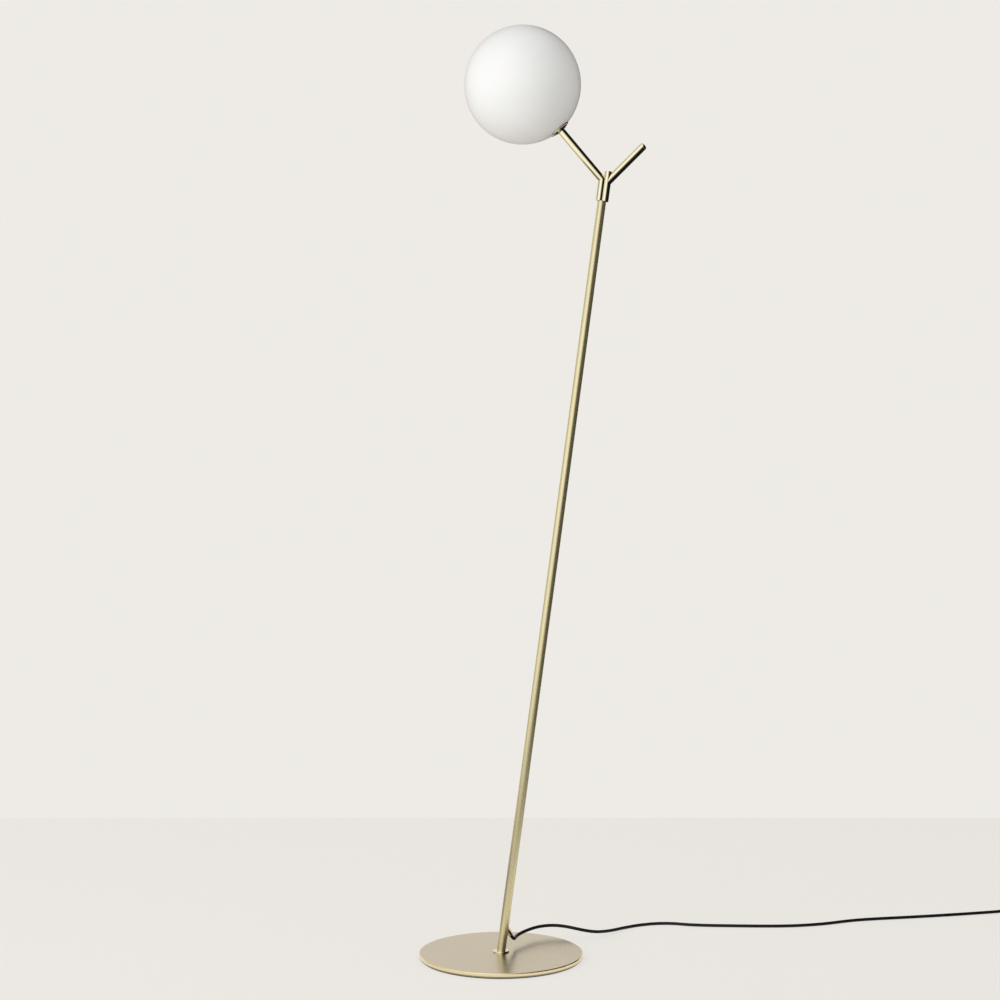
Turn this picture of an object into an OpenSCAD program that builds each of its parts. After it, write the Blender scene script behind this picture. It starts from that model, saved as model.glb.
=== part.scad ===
// Globe floor lamp. A leaning pole stands on a round plate. At its top turns a forked head,
// which carries an opal glass globe on one arm and a short closed stub on the other.
// Millimetres. +Z is up, the pole leans towards +X, and the origin lies on the floor under
// the middle of the base.

/* [Base] */
// Diameter of the base plate
base_d = 280; // [240:1:340]
// Thickness of the base plate
base_t = 8; // [8:0.5:14]
// Radius of the plate's upper edge
base_edge_r = 3.5; // [1:0.5:5]
// Radius of the plate's lower edge
base_lower_r = 2; // [0.5:0.5:2.5]
// Thickness of the pad under the plate
pad_t = 1.5; // [1:0.5:4]
// How far the pad stays inside the plate's edge
pad_inset = 3; // [1:0.5:10]
// Outer diameter of the ring round the pole's foot
foot_ring_d = 28; // [24:0.5:40]
// Height of the foot ring
foot_ring_h = 2.4; // [1.5:0.1:6]
// Chamfer on the foot ring's upper edge
foot_ring_chamfer = 0.7; // [0.3:0.1:1]

/* [Pole] */
// Lean of the pole from upright, in degrees
lean = 7.65; // [0:0.05:10]
// Outer diameter of the pole
pole_d = 15; // [15:0.5:20]
// Wall of the pole
pole_wall = 1.2; // [0.8:0.1:1.3]
// Length of the pole's axis from the plate up to the head
pole_len = 1296; // [600:1:1500]
// Length of the plug in the pole's foot
foot_plug_len = 24; // [20:1:28]
// Thread diameter of the foot screw
foot_screw_d = 8; // [6:0.5:8.5]
// Length of the foot screw's thread above its washer
foot_screw_len = 20; // [12:1:22]
// Diameter of the foot screw's head
foot_screw_head_d = 13; // [12:0.5:14]
// Height of the foot screw's head
foot_screw_head_h = 3.6; // [3:0.1:3.8]
// Width across the flats of the key hole in the head
foot_screw_key = 5; // [4:0.5:6]
// Depth of the key hole
foot_screw_key_depth = 2; // [1:0.1:2.5]
// Thickness of the foot screw's washer
foot_washer_t = 0.6; // [0.5:0.1:1]
// Depth of the washer's seat under the top of the plate
foot_seat_depth = 2.8; // [2.5:0.1:3.2]

/* [Cable outlet] */
// Height of the outlet along the pole's axis
outlet_s = 45.4; // [44:0.1:90]
// Angle between the outlet and the pole's lower part, in degrees
outlet_slope = 48; // [42:1:70]
// Turn of the outlet round the pole, from +X towards the rear, in degrees
outlet_turn = 50; // [-180:1:180]
// Outer diameter of the outlet tube
outlet_d = 10; // [9:0.5:12]
// Bore of the outlet tube
outlet_bore = 7.2; // [7:0.1:8]
// Length of the outlet from the pole's axis to its mouth
outlet_len = 25; // [19:0.1:40]
// Length of the strain relief sleeve
relief_len = 20; // [20:0.5:40]
// How far the sleeve stands out of the mouth
relief_proud = 4.2; // [2:0.1:8]
// Diameter of the sleeve at its tip
relief_tip_d = 6.5; // [6.3:0.1:6.8]

/* [Swivel] */
// Length of the bush in the pole's top
bush_len = 25; // [15:1:60]
// Diameter of the pivot tube
pivot_d = 10; // [9.5:0.1:10.4]
// Bore of the pivot tube
pivot_bore = 6.5; // [5:0.1:6.8]
// Diameter of the spigot on the pivot tube
spigot_d = 8; // [7.5:0.1:9]
// Length of the pivot tube below the retaining ring
pivot_tail = 3; // [2:0.5:10]
// Thickness of the washer between pole and head
swivel_washer_t = 0.5; // [0.3:0.1:1.5]
// Thickness of the wave washer under the bush
wave_washer_t = 0.7; // [0.5:0.1:1.5]
// Thickness of the retaining ring
retaining_ring_t = 1; // [0.8:0.1:1.5]
// Depth of the retaining ring's groove
ring_groove = 0.7; // [0.5:0.1:1]

/* [Head] */
// Diameter of the two barrels of the head block
barrel_d = 13.2; // [12.6:0.1:15]
// Distance between the barrels' axes
barrel_pitch = 9.2; // [8.2:0.1:9.4]
// Bore of the barrels
barrel_bore = 10.4; // [9.8:0.1:10.8]
// Thickness of the block's floor
block_floor = 3; // [2:0.5:6]
// Height of the right barrel
head_len = 51.4; // [48:0.1:70]
// Thickness of the cap's flange on the right barrel
head_cap_t = 1.2; // [0.8:0.1:3]
// Depth of the cap's plug in the barrel
head_cap_plug = 4; // [2:0.5:8]
// Diameter of the arm and the stub
limb_d = 13.2; // [12.4:0.1:13.2]
// Wall of the arm and the stub
limb_wall = 1.1; // [0.8:0.1:1.2]
// Height on the left barrel where the arm's axis starts
arm_joint = 36.3; // [34:0.1:38]
// Angle of the arm from the barrels, in degrees
arm_angle = 47.65; // [42:0.05:55]
// Distance from the arm's joint to the globe's centre
arm_reach = 211.5; // [170:0.5:300]
// Height on the right barrel where the stub's axis starts
stub_joint = 32.7; // [30:0.1:34]
// Angle of the stub from the barrels, in degrees
stub_angle = 37.35; // [35:0.05:50]
// Length of the stub from the barrel's axis to its tip
stub_len = 90.3; // [50:0.1:160]
// Height of the stub's domed cap
stub_cap_h = 5; // [4.2:0.1:8]
// Edge radius of the domed cap
stub_cap_r = 4; // [2:0.1:4.2]
// Depth of the stub cap's plug in the tube
stub_plug_len = 8; // [4:0.5:20]

/* [Globe holder] */
// Diameter of the dish behind the globe
dish_d = 37.3; // [34:0.1:60]
// Thickness of the dish
dish_t = 2.4; // [1.6:0.1:4]
// Gap between the dish and the globe, filled by the gasket
dish_gap = 2; // [1.2:0.1:4]
// Width of the gasket
gasket_w = 2.6; // [1.5:0.1:3]
// Length of the insert brazed into the arm's end
arm_insert_len = 14; // [8:0.5:30]
// Thread diameter of the hollow nipple
nipple_d = 10; // [9.6:0.1:10]
// Bore of the hollow nipple
nipple_bore = 6.5; // [5:0.1:7]
// Wall of the carrier cup
carrier_wall = 1.2; // [0.8:0.1:1.3]
// Thickness of the carrier's floor
carrier_floor = 2; // [1:0.1:3]
// Height of the carrier cup
carrier_h = 13.5; // [10:0.1:16]
// Width across the flats of the carrier nut
carrier_nut_af = 14; // [13:0.5:16]
// Thickness of the carrier nut
carrier_nut_t = 3; // [2:0.1:4]
// Thickness of the bracket's strip
bracket_t = 1; // [0.6:0.1:1.2]
// Width of the bracket's strip
bracket_w = 6; // [5:0.1:6.4]
// Height of the bracket
bracket_h = 9; // [8:0.5:12]

/* [Globe] */
// Diameter of the glass globe
globe_d = 200; // [150:1:240]
// Thickness of the glass
glass_t = 2.5; // [1.5:0.1:4]
// Inner diameter of the globe's neck
neck_bore = 28; // [28:0.1:32]
// Wall of the globe's neck
neck_wall = 2.5; // [2:0.1:4]
// Length of the neck inside the globe
neck_len = 12.5; // [8:0.5:18]

/* [Lampholder and bulb] */
// Diameter of the lampholder's flange
holder_flange_d = 23; // [22.6:0.1:24]
// Thickness of the lampholder's flange
holder_flange_t = 5; // [3:0.5:8]
// Width of the lampholder's body
holder_w = 12; // [11:0.1:12.4]
// Depth of the lampholder's body
holder_depth = 17; // [15.5:0.1:19]
// Height of the lampholder's body over its flange
holder_h = 16; // [13:0.5:24]
// Distance between the lampholder's screws
holder_screw_pitch = 17.6; // [17.2:0.1:17.8]
// Thread diameter of the lampholder's screws
holder_screw_d = 2.5; // [2:0.1:2.5]
// Distance between the bulb's pins
bulb_pin_pitch = 9; // [8:0.1:10]
// Width of a bulb pin
bulb_pin_w = 2.4; // [2:0.1:3]
// Thickness of a bulb pin
bulb_pin_t = 1.1; // [0.8:0.1:1.4]
// Length of the bulb's pins
bulb_pin_len = 12; // [8:0.5:13]
// Diameter of the bulb's base
bulb_base_d = 15; // [14:0.1:17]
// Height of the bulb's base
bulb_base_h = 9; // [6:0.5:14]
// Diameter of the bulb's capsule
capsule_d = 16.5; // [14:0.1:22]
// Length of the bulb's capsule
capsule_len = 34; // [24:0.5:40]

/* [Mains lead] */
// Diameter of the mains lead
cord_d = 5.6; // [5:0.1:5.6]
// Diameter of the lead inside the pole and the arm
lead_d = 4; // [3:0.1:4.6]
// Mean diameter of the coil
coil_d = 66; // [56:1:66]
// Turns side by side in the coil
coil_columns = 3; // [2:1:3]
// Turns on top of each other in the coil
coil_layers = 2; // [1:1:2]
// Thickness of the strap round the coil
tie_t = 0.8; // [0.5:0.1:2]
// Width of the strap round the coil
tie_w = 9; // [5:0.5:15]

/* [Foot switch] */
// Length of the switch
switch_len = 66; // [60:1:72]
// Width of the switch
switch_w = 34; // [32:0.5:40]
// Height of the switch without its button
switch_h = 21; // [20:0.5:26]
// Height of the lower shell
switch_base_h = 9; // [8:0.5:10]
// Wall of the switch's shells
switch_wall = 2; // [1.5:0.1:2.4]
// Edge radius of the switch's cover
switch_edge_r = 4; // [2:0.1:5]
// Edge radius of the switch's underside
switch_base_edge_r = 1.5; // [0.5:0.1:2]
// Length of the entry sleeves on both ends
switch_sleeve = 7; // [5:0.5:10]
// Outer diameter of the entry sleeves
switch_sleeve_d = 9.5; // [9:0.1:10]
// Diameter of the foot button
button_d = 22; // [18:0.5:24]
// How far the button stands out of the cover
button_rise = 4; // [3.2:0.1:6]
// Travel of the button
button_travel = 2.5; // [1:0.1:2.6]
// Width of the block inside the switch
block_w = 20; // [16:0.5:22]
// Length of the block inside the switch
block_len = 30; // [24:0.5:34]

/* [Plug] */
// Width of the plug body at its pins
plug_w = 35.3; // [34:0.1:38]
// Width of the plug body's flat top and underside
plug_flat_w = 26.1; // [24:0.1:28]
// Thickness of the plug body
plug_t = 13.7; // [13:0.1:16]
// Length of the plug body
plug_len = 34; // [30:0.5:44]
// Width of the plug body where its boot starts
plug_tail_w = 15; // [12:0.5:20]
// Thickness of the plug body where its boot starts
plug_tail_t = 11.4; // [11:0.1:13]
// Length of the boot round the lead
plug_boot_len = 20; // [14:0.5:26]
// Diameter of the boot where it starts
plug_boot_d = 10.6; // [9:0.1:11]
// Diameter of the boot at its tip
plug_boot_tip_d = 7.6; // [6.8:0.1:8.6]
// Diameter of a pin's bare tip
plug_pin_d = 4; // [3.9:0.1:4.8]
// Diameter of a pin's insulated shank
plug_shank_d = 3.6; // [3.2:0.1:3.8]
// Length of a pin outside the body
plug_pin_len = 19; // [15:0.5:20]
// Length of a pin's bare tip
plug_tip_len = 9; // [7:0.5:10]
// Distance between the plug's pins
plug_pin_pitch = 18.6; // [17:0.1:19]
// Length of a pin inside the body
plug_pin_root = 10; // [6:0.5:14]

/* [Fits] */
// Radial play of parts pressed, brazed or screwed together
tight = 0.02; // [0.01:0.01:0.05]
// Radial play of the pivot in its bush
running = 0.05; // [0.02:0.01:0.1]
// Play between parts that move past each other
loose = 0.3; // [0.2:0.05:0.4]

/* [Hidden] */
$fn = 96;

satin_brass = "#C4B8A0";
pole_brass = "#B9AE88";
bright_brass = "#D9C98A";
steel = "#B8BABC";
black_rubber = "#16130F";
clear_silicone = "#D8D6D0";
opal = "#F4F3F0";
ceramic = "#E9E4DA";

// Larger than any piece: reach of a cutting block, and overrun of a cut past a face
far = 400;
cut = 1;

// Base and pole
base_top = pad_t + base_t;
pole_bore = pole_d - 2 * pole_wall;
foot_seat = -foot_seat_depth;
foot_screw_play = 0.5;
foot_screw_top = foot_seat - foot_washer_t;
foot_recess_d = foot_screw_head_d + 2;
washer_d = foot_screw_head_d + 1;
pole_top = pole_len - swivel_washer_t;

// Cable outlet: the sleeve is measured along the outlet from the pole's axis
relief_end = outlet_len + relief_proud;
relief_start = relief_end - relief_len;
lead_bend_r = 4 * lead_d;
lead_bend_start = lead_bend_r * tan(outlet_slope / 2);
lead_joint_s = pole_len - 6;

// Swivel
bush_bottom = pole_top - bush_len;
ring_d = pole_bore - 2 * loose;
wave_top = bush_bottom - running;
ring_top = wave_top - wave_washer_t - running;
groove_play = 0.1;
pivot_bottom = ring_top - retaining_ring_t - pivot_tail;

// Head
block_half = barrel_pitch / 2;
limb_bore = limb_d - 2 * limb_wall;
lead_shift_r = 4 * lead_d;
lead_shift_turn = acos(1 - block_half / 2 / lead_shift_r);
lead_shift_z = 2 * lead_shift_r * sin(lead_shift_turn);
lead_turn_start = lead_shift_r * tan(arm_angle / 2);
lead_rise = arm_joint - lead_turn_start - lead_shift_z;
lead_arc_steps = 6;

// Globe holder, measured along the arm from its joint
globe_r = globe_d / 2;
dish_in_r = globe_r + dish_gap;
dish_out_r = dish_in_r + dish_t;
carrier_d = neck_bore - 2 * loose;
seat_z = arm_reach - sqrt(pow(dish_in_r, 2) - pow(carrier_d / 2, 2));
carrier_bottom = seat_z + carrier_floor;
bracket_top = carrier_bottom + bracket_h;
nut_bottom = carrier_bottom + bracket_t;
nipple_top = nut_bottom + carrier_nut_t + 1;
insert_start = arm_reach - dish_out_r - arm_insert_len;
bracket_out = carrier_d / 2 - carrier_wall - 0.5;
bracket_in = holder_screw_pitch / 2 - holder_screw_d;
holder_top = bracket_top + holder_flange_t + holder_h;
holder_screw_head_d = 2 * holder_screw_d - 0.4;
pin_play = 0.35;
bulb_bottom = holder_top + loose;
capsule_bottom = bulb_bottom + bulb_base_h;

// Coil, switch and plug on the floor
cord_r = cord_d / 2;
cord_sides = 10;
ring_step = 3 * cord_d;
switch_centre = [1025, 322];
coil_w = coil_columns * cord_d;
coil_h = coil_layers * cord_d;
outer_turn_r = (coil_d + coil_w - cord_d) / 2;
first_turn_z = tie_t + cord_r;
last_turn_z = tie_t + coil_h - cord_r;
coil_centre = [1120, switch_centre[1] - outer_turn_r];
switch_cord_z = switch_base_h;
switch_mouth = switch_len / 2 + switch_sleeve;
switch_boss_d = 5;
switch_screw_d = 2.6;
switch_screw_head_d = 4.6;
switch_screw_x = switch_len / 2 - 12;
switch_screw_y = switch_w / 2 - 6.5;
button_flange = 1.5;
button_z = switch_h + button_rise;
block_top = switch_h - switch_wall - button_flange - button_travel - loose;
plug_face = [1032, coil_centre[1] - outer_turn_r];
plug_mid_z = plug_t / 2;
plug_tip_proud = 1.2;
plug_shoulder = 7;
plug_steps = 16;
boot_grooves = 5;
boot_groove_w = 1.4;
boot_groove_depth = 0.8;

// The way of the lead: out of the pole, back over the plate in a stiff arch and along the floor
cord_lies = 3;
cord_route = [[19.5, 20.7, 29.2], [21.4, 25.6, 26.1], [22.9, 31.2, 24.2], [24, 37.4, 23.4],
    [25.2, 44, 23.4], [28.4, 54.6, 23.9], [34.2, 65.4, 24.8], [40.6, 76.5, 25.2], [47.9, 88.5, 25.2],
    [57.2, 101, 25.3], [68, 111.3, 25.4], [82, 118.7, 25.4], [98, 121.3, 25], [115, 119.9, 23.5],
    [132, 118, 20.5], [150, 119.8, 16.4], [168, 128.2, 12.2], [186, 145.8, 8.5], [204, 168, 5.6],
    [224, 191.3, 3.8], [252, 213.5, cord_lies], [284, 226, cord_lies], [315, 227, cord_lies],
    [350, 217, cord_lies], [402, 211, cord_lies], [512, 208, cord_lies], [585, 222, cord_lies],
    [665, 255, cord_lies], [774, 279, cord_lies], [844, 295, cord_lies], [905, 311, cord_lies],
    [945, 319, 4], [965, 321, 6.5]];

// Row frame to the pole's frame: origin in the plate's top, z along the pole
module on_pole() {
    translate([0, 0, base_top]) rotate([0, lean, 0]) children();
}

// The head's frame: origin under the head block, z along the barrels
module on_head() {
    on_pole() translate([0, 0, pole_len]) children();
}

module on_left_barrel() {
    translate([-block_half, 0, 0]) children();
}

module on_right_barrel() {
    translate([block_half, 0, 0]) children();
}

// The arm's frame: origin on the left barrel's axis, z towards the globe
module on_arm() {
    on_head() on_left_barrel() translate([0, 0, arm_joint]) rotate([0, -arm_angle, 0]) children();
}

module on_stub() {
    on_head() on_right_barrel() translate([0, 0, stub_joint]) rotate([0, stub_angle, 0]) children();
}

// The outlet's frame: origin on the pole's axis, z towards the mouth
module on_outlet() {
    on_pole() translate([0, 0, outlet_s]) rotate([0, 0, outlet_turn]) rotate([0, 180 - outlet_slope, 0])
        children();
}

module tube(d, bore, h) {
    difference() {
        cylinder(d = d, h = h);
        translate([0, 0, -cut]) cylinder(d = bore, h = h + 2 * cut);
    }
}

// A disc with a rounded upper edge
module rounded_disc(d, h, r) {
    rotate_extrude($fn = 180) {
        square([d / 2 - r, h]);
        square([d / 2, h - r]);
        translate([d / 2 - r, h - r]) intersection() {
            circle(r);
            square(r);
        }
    }
}

// Half profile of the plate, with both its edges rounded
module plate_profile() {
    r = base_d / 2;
    square([r - base_lower_r, base_t - base_edge_r]);
    translate([0, base_lower_r]) {
        square([r - base_edge_r, base_t - base_lower_r]);
        square([r, base_t - base_edge_r - base_lower_r]);
    }
    translate([r - base_edge_r, base_t - base_edge_r]) intersection() {
        circle(base_edge_r);
        square(base_edge_r);
    }
    translate([r - base_lower_r, base_lower_r]) intersection() {
        circle(base_lower_r);
        translate([0, -base_lower_r]) square(base_lower_r);
    }
}

// Everything under the plate's top
module below_plate_top() {
    translate([-far, -far, base_top - 2 * far]) cube(2 * far);
}

// ---- Base and pole ----

module base_plate() {
    color(satin_brass) difference() {
        translate([0, 0, pad_t]) rotate_extrude($fn = 180) plate_profile();
        on_pole() {
            translate([0, 0, -2 * base_t]) cylinder(d = foot_screw_d + 2 * foot_screw_play, h = 4 * base_t);
            translate([0, 0, foot_seat - 2 * base_t]) cylinder(d = foot_recess_d, h = 2 * base_t);
        }
    }
}

module base_pad() {
    color(black_rubber) cylinder(d = base_d - 2 * pad_inset, h = pad_t, $fn = 180);
}

module foot_ring() {
    color(bright_brass) difference() {
        translate([0, 0, base_top]) union() {
            cylinder(d = foot_ring_d, h = foot_ring_h - foot_ring_chamfer);
            translate([0, 0, foot_ring_h - foot_ring_chamfer])
                cylinder(d1 = foot_ring_d, d2 = foot_ring_d - 2 * foot_ring_chamfer, h = foot_ring_chamfer);
        }
        on_pole() translate([0, 0, -foot_ring_d]) cylinder(d = pole_d + 2 * tight, h = 2 * foot_ring_d);
    }
}

module foot_plug() {
    color(steel) difference() {
        on_pole() translate([0, 0, -pole_d]) tube(pole_bore - 2 * tight, foot_screw_d + 2 * tight,
            pole_d + foot_plug_len);
        below_plate_top();
    }
}

module foot_washer() {
    color(steel) on_pole() translate([0, 0, foot_screw_top])
        tube(washer_d, foot_screw_d + foot_screw_play, foot_washer_t);
}

module foot_screw() {
    color(steel) on_pole() translate([0, 0, foot_screw_top]) {
        cylinder(d = foot_screw_d, h = foot_screw_len);
        difference() {
            translate([0, 0, -foot_screw_head_h]) cylinder(d = foot_screw_head_d, h = foot_screw_head_h);
            translate([0, 0, -foot_screw_head_h - cut])
                cylinder(d = foot_screw_key / cos(30), h = foot_screw_key_depth + cut, $fn = 6);
        }
    }
}

module pole_tube() {
    color(pole_brass) difference() {
        on_pole() translate([0, 0, -pole_d]) tube(pole_d, pole_bore, pole_d + pole_top);
        below_plate_top();
        on_outlet() cylinder(d = outlet_bore, h = outlet_len);
    }
}

module cable_outlet() {
    color(pole_brass) difference() {
        on_outlet() tube(outlet_d, outlet_bore, outlet_len);
        on_pole() cylinder(d = pole_d, h = 2 * outlet_s);
    }
}

// A sleeve round the lead: its root fits the outlet's bore, its tip tapers
module strain_relief() {
    color(black_rubber) on_outlet() difference() {
        union() {
            translate([0, 0, relief_start])
                cylinder(d = outlet_bore - 2 * tight, h = relief_len - relief_proud);
            translate([0, 0, outlet_len]) cylinder(d1 = outlet_bore - 2 * tight, d2 = relief_tip_d,
                h = relief_proud);
        }
        cylinder(d = cord_d + 4 * running, h = relief_end + cut);
    }
}

// The lead's cores, from the inside of the outlet to the swivel
module inner_lead() {
    in_outlet = [lead_bend_start * sin(outlet_slope), 0, outlet_s - lead_bend_start * cos(outlet_slope)];
    in_pole = [0, 0, outlet_s + lead_bend_start];
    route = concat([in_outlet], closing_arc(in_pole, lead_bend_r, outlet_slope), [[0, 0, lead_joint_s]]);
    color(black_rubber) on_pole() rotate([0, 0, outlet_turn]) swept(route, lead_d / 2, [0, 1, 0]);
}

// ---- Swivel ----

module swivel_bush() {
    color(bright_brass) on_pole() translate([0, 0, bush_bottom])
        tube(pole_bore - 2 * tight, pivot_d + 2 * running, bush_len);
}

module swivel_washer() {
    color(black_rubber) on_pole() translate([0, 0, pole_top])
        tube(pole_d - 2 * loose, pivot_d + 2 * loose, swivel_washer_t - running);
}

// Stepped tube: the spigot is brazed in the head block's floor, the groove takes the ring
module pivot_tube() {
    groove_d = pivot_d - 2 * ring_groove;
    groove_h = retaining_ring_t + 2 * groove_play;
    color(bright_brass) on_pole() difference() {
        union() {
            translate([0, 0, pivot_bottom]) cylinder(d = pivot_d, h = pole_len - pivot_bottom);
            translate([0, 0, pole_len]) cylinder(d = spigot_d, h = block_floor);
        }
        translate([0, 0, pivot_bottom - cut]) cylinder(d = pivot_bore, h = pole_len);
        translate([0, 0, ring_top - retaining_ring_t - groove_play]) tube(pivot_d + cut, groove_d, groove_h);
    }
}

module wave_washer() {
    color(steel) on_pole() translate([0, 0, wave_top - wave_washer_t])
        tube(ring_d, pivot_d + 2 * groove_play, wave_washer_t);
}

// Open ring that snaps in the pivot tube's groove
module retaining_ring() {
    ring_open = 60;
    ring_bore = pivot_d - 2 * ring_groove + 2 * groove_play;
    color(steel) on_pole() translate([0, 0, ring_top - retaining_ring_t])
        rotate([0, 0, ring_open / 2]) rotate_extrude(angle = 360 - ring_open)
            translate([ring_bore / 2, 0]) square([(ring_d - ring_bore) / 2, retaining_ring_t]);
}

// ---- Head ----

// The side of the mitre plane between the left barrel and the arm: 1 for the arm's, 0 for the barrel's
module mitre_side(arms) {
    on_left_barrel() translate([0, 0, arm_joint]) rotate([0, -arm_angle / 2, 0])
        translate([-far / 2, -far / 2, arms ? 0 : -far]) cube(far);
}

module head_block() {
    color(bright_brass) on_head() difference() {
        union() {
            difference() {
                on_left_barrel() cylinder(d = barrel_d, h = head_len);
                mitre_side(true);
            }
            on_right_barrel() cylinder(d = barrel_d, h = head_len - head_cap_t);
        }
        on_right_barrel() translate([0, 0, block_floor]) cylinder(d = barrel_bore, h = head_len);
        intersection() {
            on_left_barrel() translate([0, 0, block_floor]) cylinder(d = barrel_bore, h = head_len);
            mitre_side(false);
        }
        translate([0, 0, -cut]) cylinder(d = spigot_d + 2 * tight, h = block_floor + 2 * cut);
    }
}

// The cap's plug leaves the waist between the barrels free
module head_cap() {
    color(bright_brass) on_head() on_right_barrel() {
        translate([0, 0, head_len - head_cap_t]) cylinder(d = barrel_d, h = head_cap_t);
        translate([0, 0, head_len - head_cap_t - head_cap_plug])
            cylinder(d = barrel_bore - 2 * tight, h = head_cap_plug);
    }
}

module arm_tube() {
    color(bright_brass) difference() {
        on_arm() translate([0, 0, -limb_d]) tube(limb_d, limb_bore, arm_reach - dish_in_r + limb_d);
        on_head() mitre_side(false);
        on_head() on_right_barrel() cylinder(d = barrel_d, h = head_len);
        on_arm() translate([0, 0, arm_reach]) sphere(r = dish_out_r, $fn = 180);
    }
}

module stub_tube() {
    color(bright_brass) difference() {
        on_stub() tube(limb_d, limb_bore, stub_len - stub_cap_h);
        on_head() on_right_barrel() cylinder(d = barrel_d, h = head_len);
    }
}

module stub_cap() {
    color(bright_brass) on_stub() {
        translate([0, 0, stub_len - stub_cap_h]) rounded_disc(limb_d, stub_cap_h, stub_cap_r);
        translate([0, 0, stub_len - stub_cap_h - stub_plug_len])
            cylinder(d = limb_bore - 2 * tight, h = stub_plug_len);
    }
}

// The cores from the swivel up, over into the left barrel and along the arm
module arm_lead() {
    start = [0, 0, lead_joint_s - pole_len + loose];
    in_barrel = [-block_half, 0, lead_rise + lead_shift_z];
    joint = [-block_half, 0, arm_joint];
    end = joint + (bracket_top - loose) * [-sin(arm_angle), 0, cos(arm_angle)];
    route = concat([start, [0, 0, lead_rise]],
        opening_arc([0, 0, lead_rise], lead_shift_r, lead_shift_turn),
        closing_arc(in_barrel, lead_shift_r, lead_shift_turn),
        opening_arc(in_barrel, lead_shift_r, arm_angle), [end]);
    color(black_rubber) on_head() swept(route, lead_d / 2, [0, 1, 0]);
}

// ---- Globe holder ----

module arm_insert() {
    color(bright_brass) difference() {
        on_arm() translate([0, 0, insert_start])
            tube(limb_bore - 2 * tight, nipple_d + 2 * tight, arm_insert_len + dish_t);
        on_arm() translate([0, 0, arm_reach]) sphere(r = dish_out_r, $fn = 180);
    }
}

module arm_nipple() {
    color(steel) on_arm() translate([0, 0, insert_start + cut])
        tube(nipple_d, nipple_bore, nipple_top - insert_start - cut);
}

// A cap of a ball round the globe, with a flat seat for the carrier on its inside
module globe_dish() {
    color(bright_brass) on_arm() difference() {
        intersection() {
            translate([0, 0, arm_reach]) sphere(r = dish_out_r, $fn = 180);
            cylinder(d = dish_d, h = arm_reach);
            union() {
                difference() {
                    cylinder(d = dish_d + 2 * cut, h = arm_reach);
                    translate([0, 0, arm_reach]) sphere(r = dish_in_r, $fn = 180);
                }
                cylinder(d = carrier_d, h = seat_z);
            }
        }
        cylinder(d = nipple_d + 2 * tight, h = arm_reach);
    }
}

module glass_carrier() {
    color(steel) on_arm() translate([0, 0, seat_z]) difference() {
        cylinder(d = carrier_d, h = carrier_h);
        translate([0, 0, carrier_floor]) cylinder(d = carrier_d - 2 * carrier_wall, h = carrier_h);
        translate([0, 0, -cut]) cylinder(d = nipple_d + 2 * tight, h = carrier_floor + 2 * cut);
    }
}

// Fills the gap between dish and globe round the neck
module globe_gasket() {
    inner_d = neck_bore + 2 * loose;
    color(clear_silicone) on_arm() intersection() {
        translate([0, 0, arm_reach]) difference() {
            sphere(r = dish_in_r - tight, $fn = 180);
            sphere(r = globe_r + loose, $fn = 180);
        }
        tube(inner_d + 2 * gasket_w, inner_d, arm_reach);
    }
}

module carrier_nut() {
    color(steel) on_arm() translate([0, 0, nut_bottom]) difference() {
        cylinder(d = carrier_nut_af / cos(30), h = carrier_nut_t, $fn = 6);
        translate([0, 0, -cut]) cylinder(d = nipple_d + 2 * tight, h = carrier_nut_t + 2 * cut);
    }
}

// Bent strip: a floor under the nut, two legs, and two tabs for the lampholder's screws
module holder_bracket() {
    color(steel) on_arm() translate([0, 0, carrier_bottom]) difference() {
        union() {
            translate([-bracket_out, -bracket_w / 2, 0]) cube([2 * bracket_out, bracket_w, bracket_t]);
            cylinder(d = carrier_nut_af, h = bracket_t);
            for (side = [0, 1]) mirror([side, 0, 0]) {
                translate([bracket_out - bracket_t, -bracket_w / 2, 0])
                    cube([bracket_t, bracket_w, bracket_h]);
                translate([bracket_in, -bracket_w / 2, bracket_h - bracket_t])
                    cube([bracket_out - bracket_in, bracket_w, bracket_t]);
            }
        }
        translate([0, 0, -cut]) cylinder(d = nipple_d + 2 * tight, h = bracket_t + 2 * cut);
        for (side = [-1, 1]) translate([side * holder_screw_pitch / 2, 0, bracket_h / 2])
            cylinder(d = holder_screw_d + 2 * tight, h = bracket_h);
    }
}

// Ceramic block on a round flange, with two slots for the bulb's pins
module lampholder() {
    slot_depth = bulb_pin_len + 2 * loose;
    color(ceramic) on_arm() translate([0, 0, bracket_top]) difference() {
        union() {
            cylinder(d = holder_flange_d, h = holder_flange_t);
            translate([-holder_w / 2, -holder_depth / 2, holder_flange_t])
                cube([holder_w, holder_depth, holder_h]);
        }
        for (side = [-1, 1]) {
            translate([side * holder_screw_pitch / 2, 0, -cut])
                cylinder(d = holder_screw_d + loose, h = holder_flange_t + 2 * cut);
            translate([-bulb_pin_w / 2 - pin_play, side * bulb_pin_pitch / 2 - bulb_pin_t / 2 - pin_play,
                holder_flange_t + holder_h - slot_depth])
                cube([bulb_pin_w + 2 * pin_play, bulb_pin_t + 2 * pin_play, slot_depth + cut]);
        }
    }
}

module holder_screws() {
    head_h = holder_screw_d / 2;
    color(steel) on_arm() for (side = [-1, 1])
        translate([side * holder_screw_pitch / 2, 0, bracket_top + holder_flange_t]) {
            cylinder(d = holder_screw_head_d, h = head_h);
            translate([0, 0, -holder_flange_t - bracket_t - cut])
                cylinder(d = holder_screw_d, h = holder_flange_t + bracket_t + cut);
        }
}

// ---- Globe and bulb ----

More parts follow.
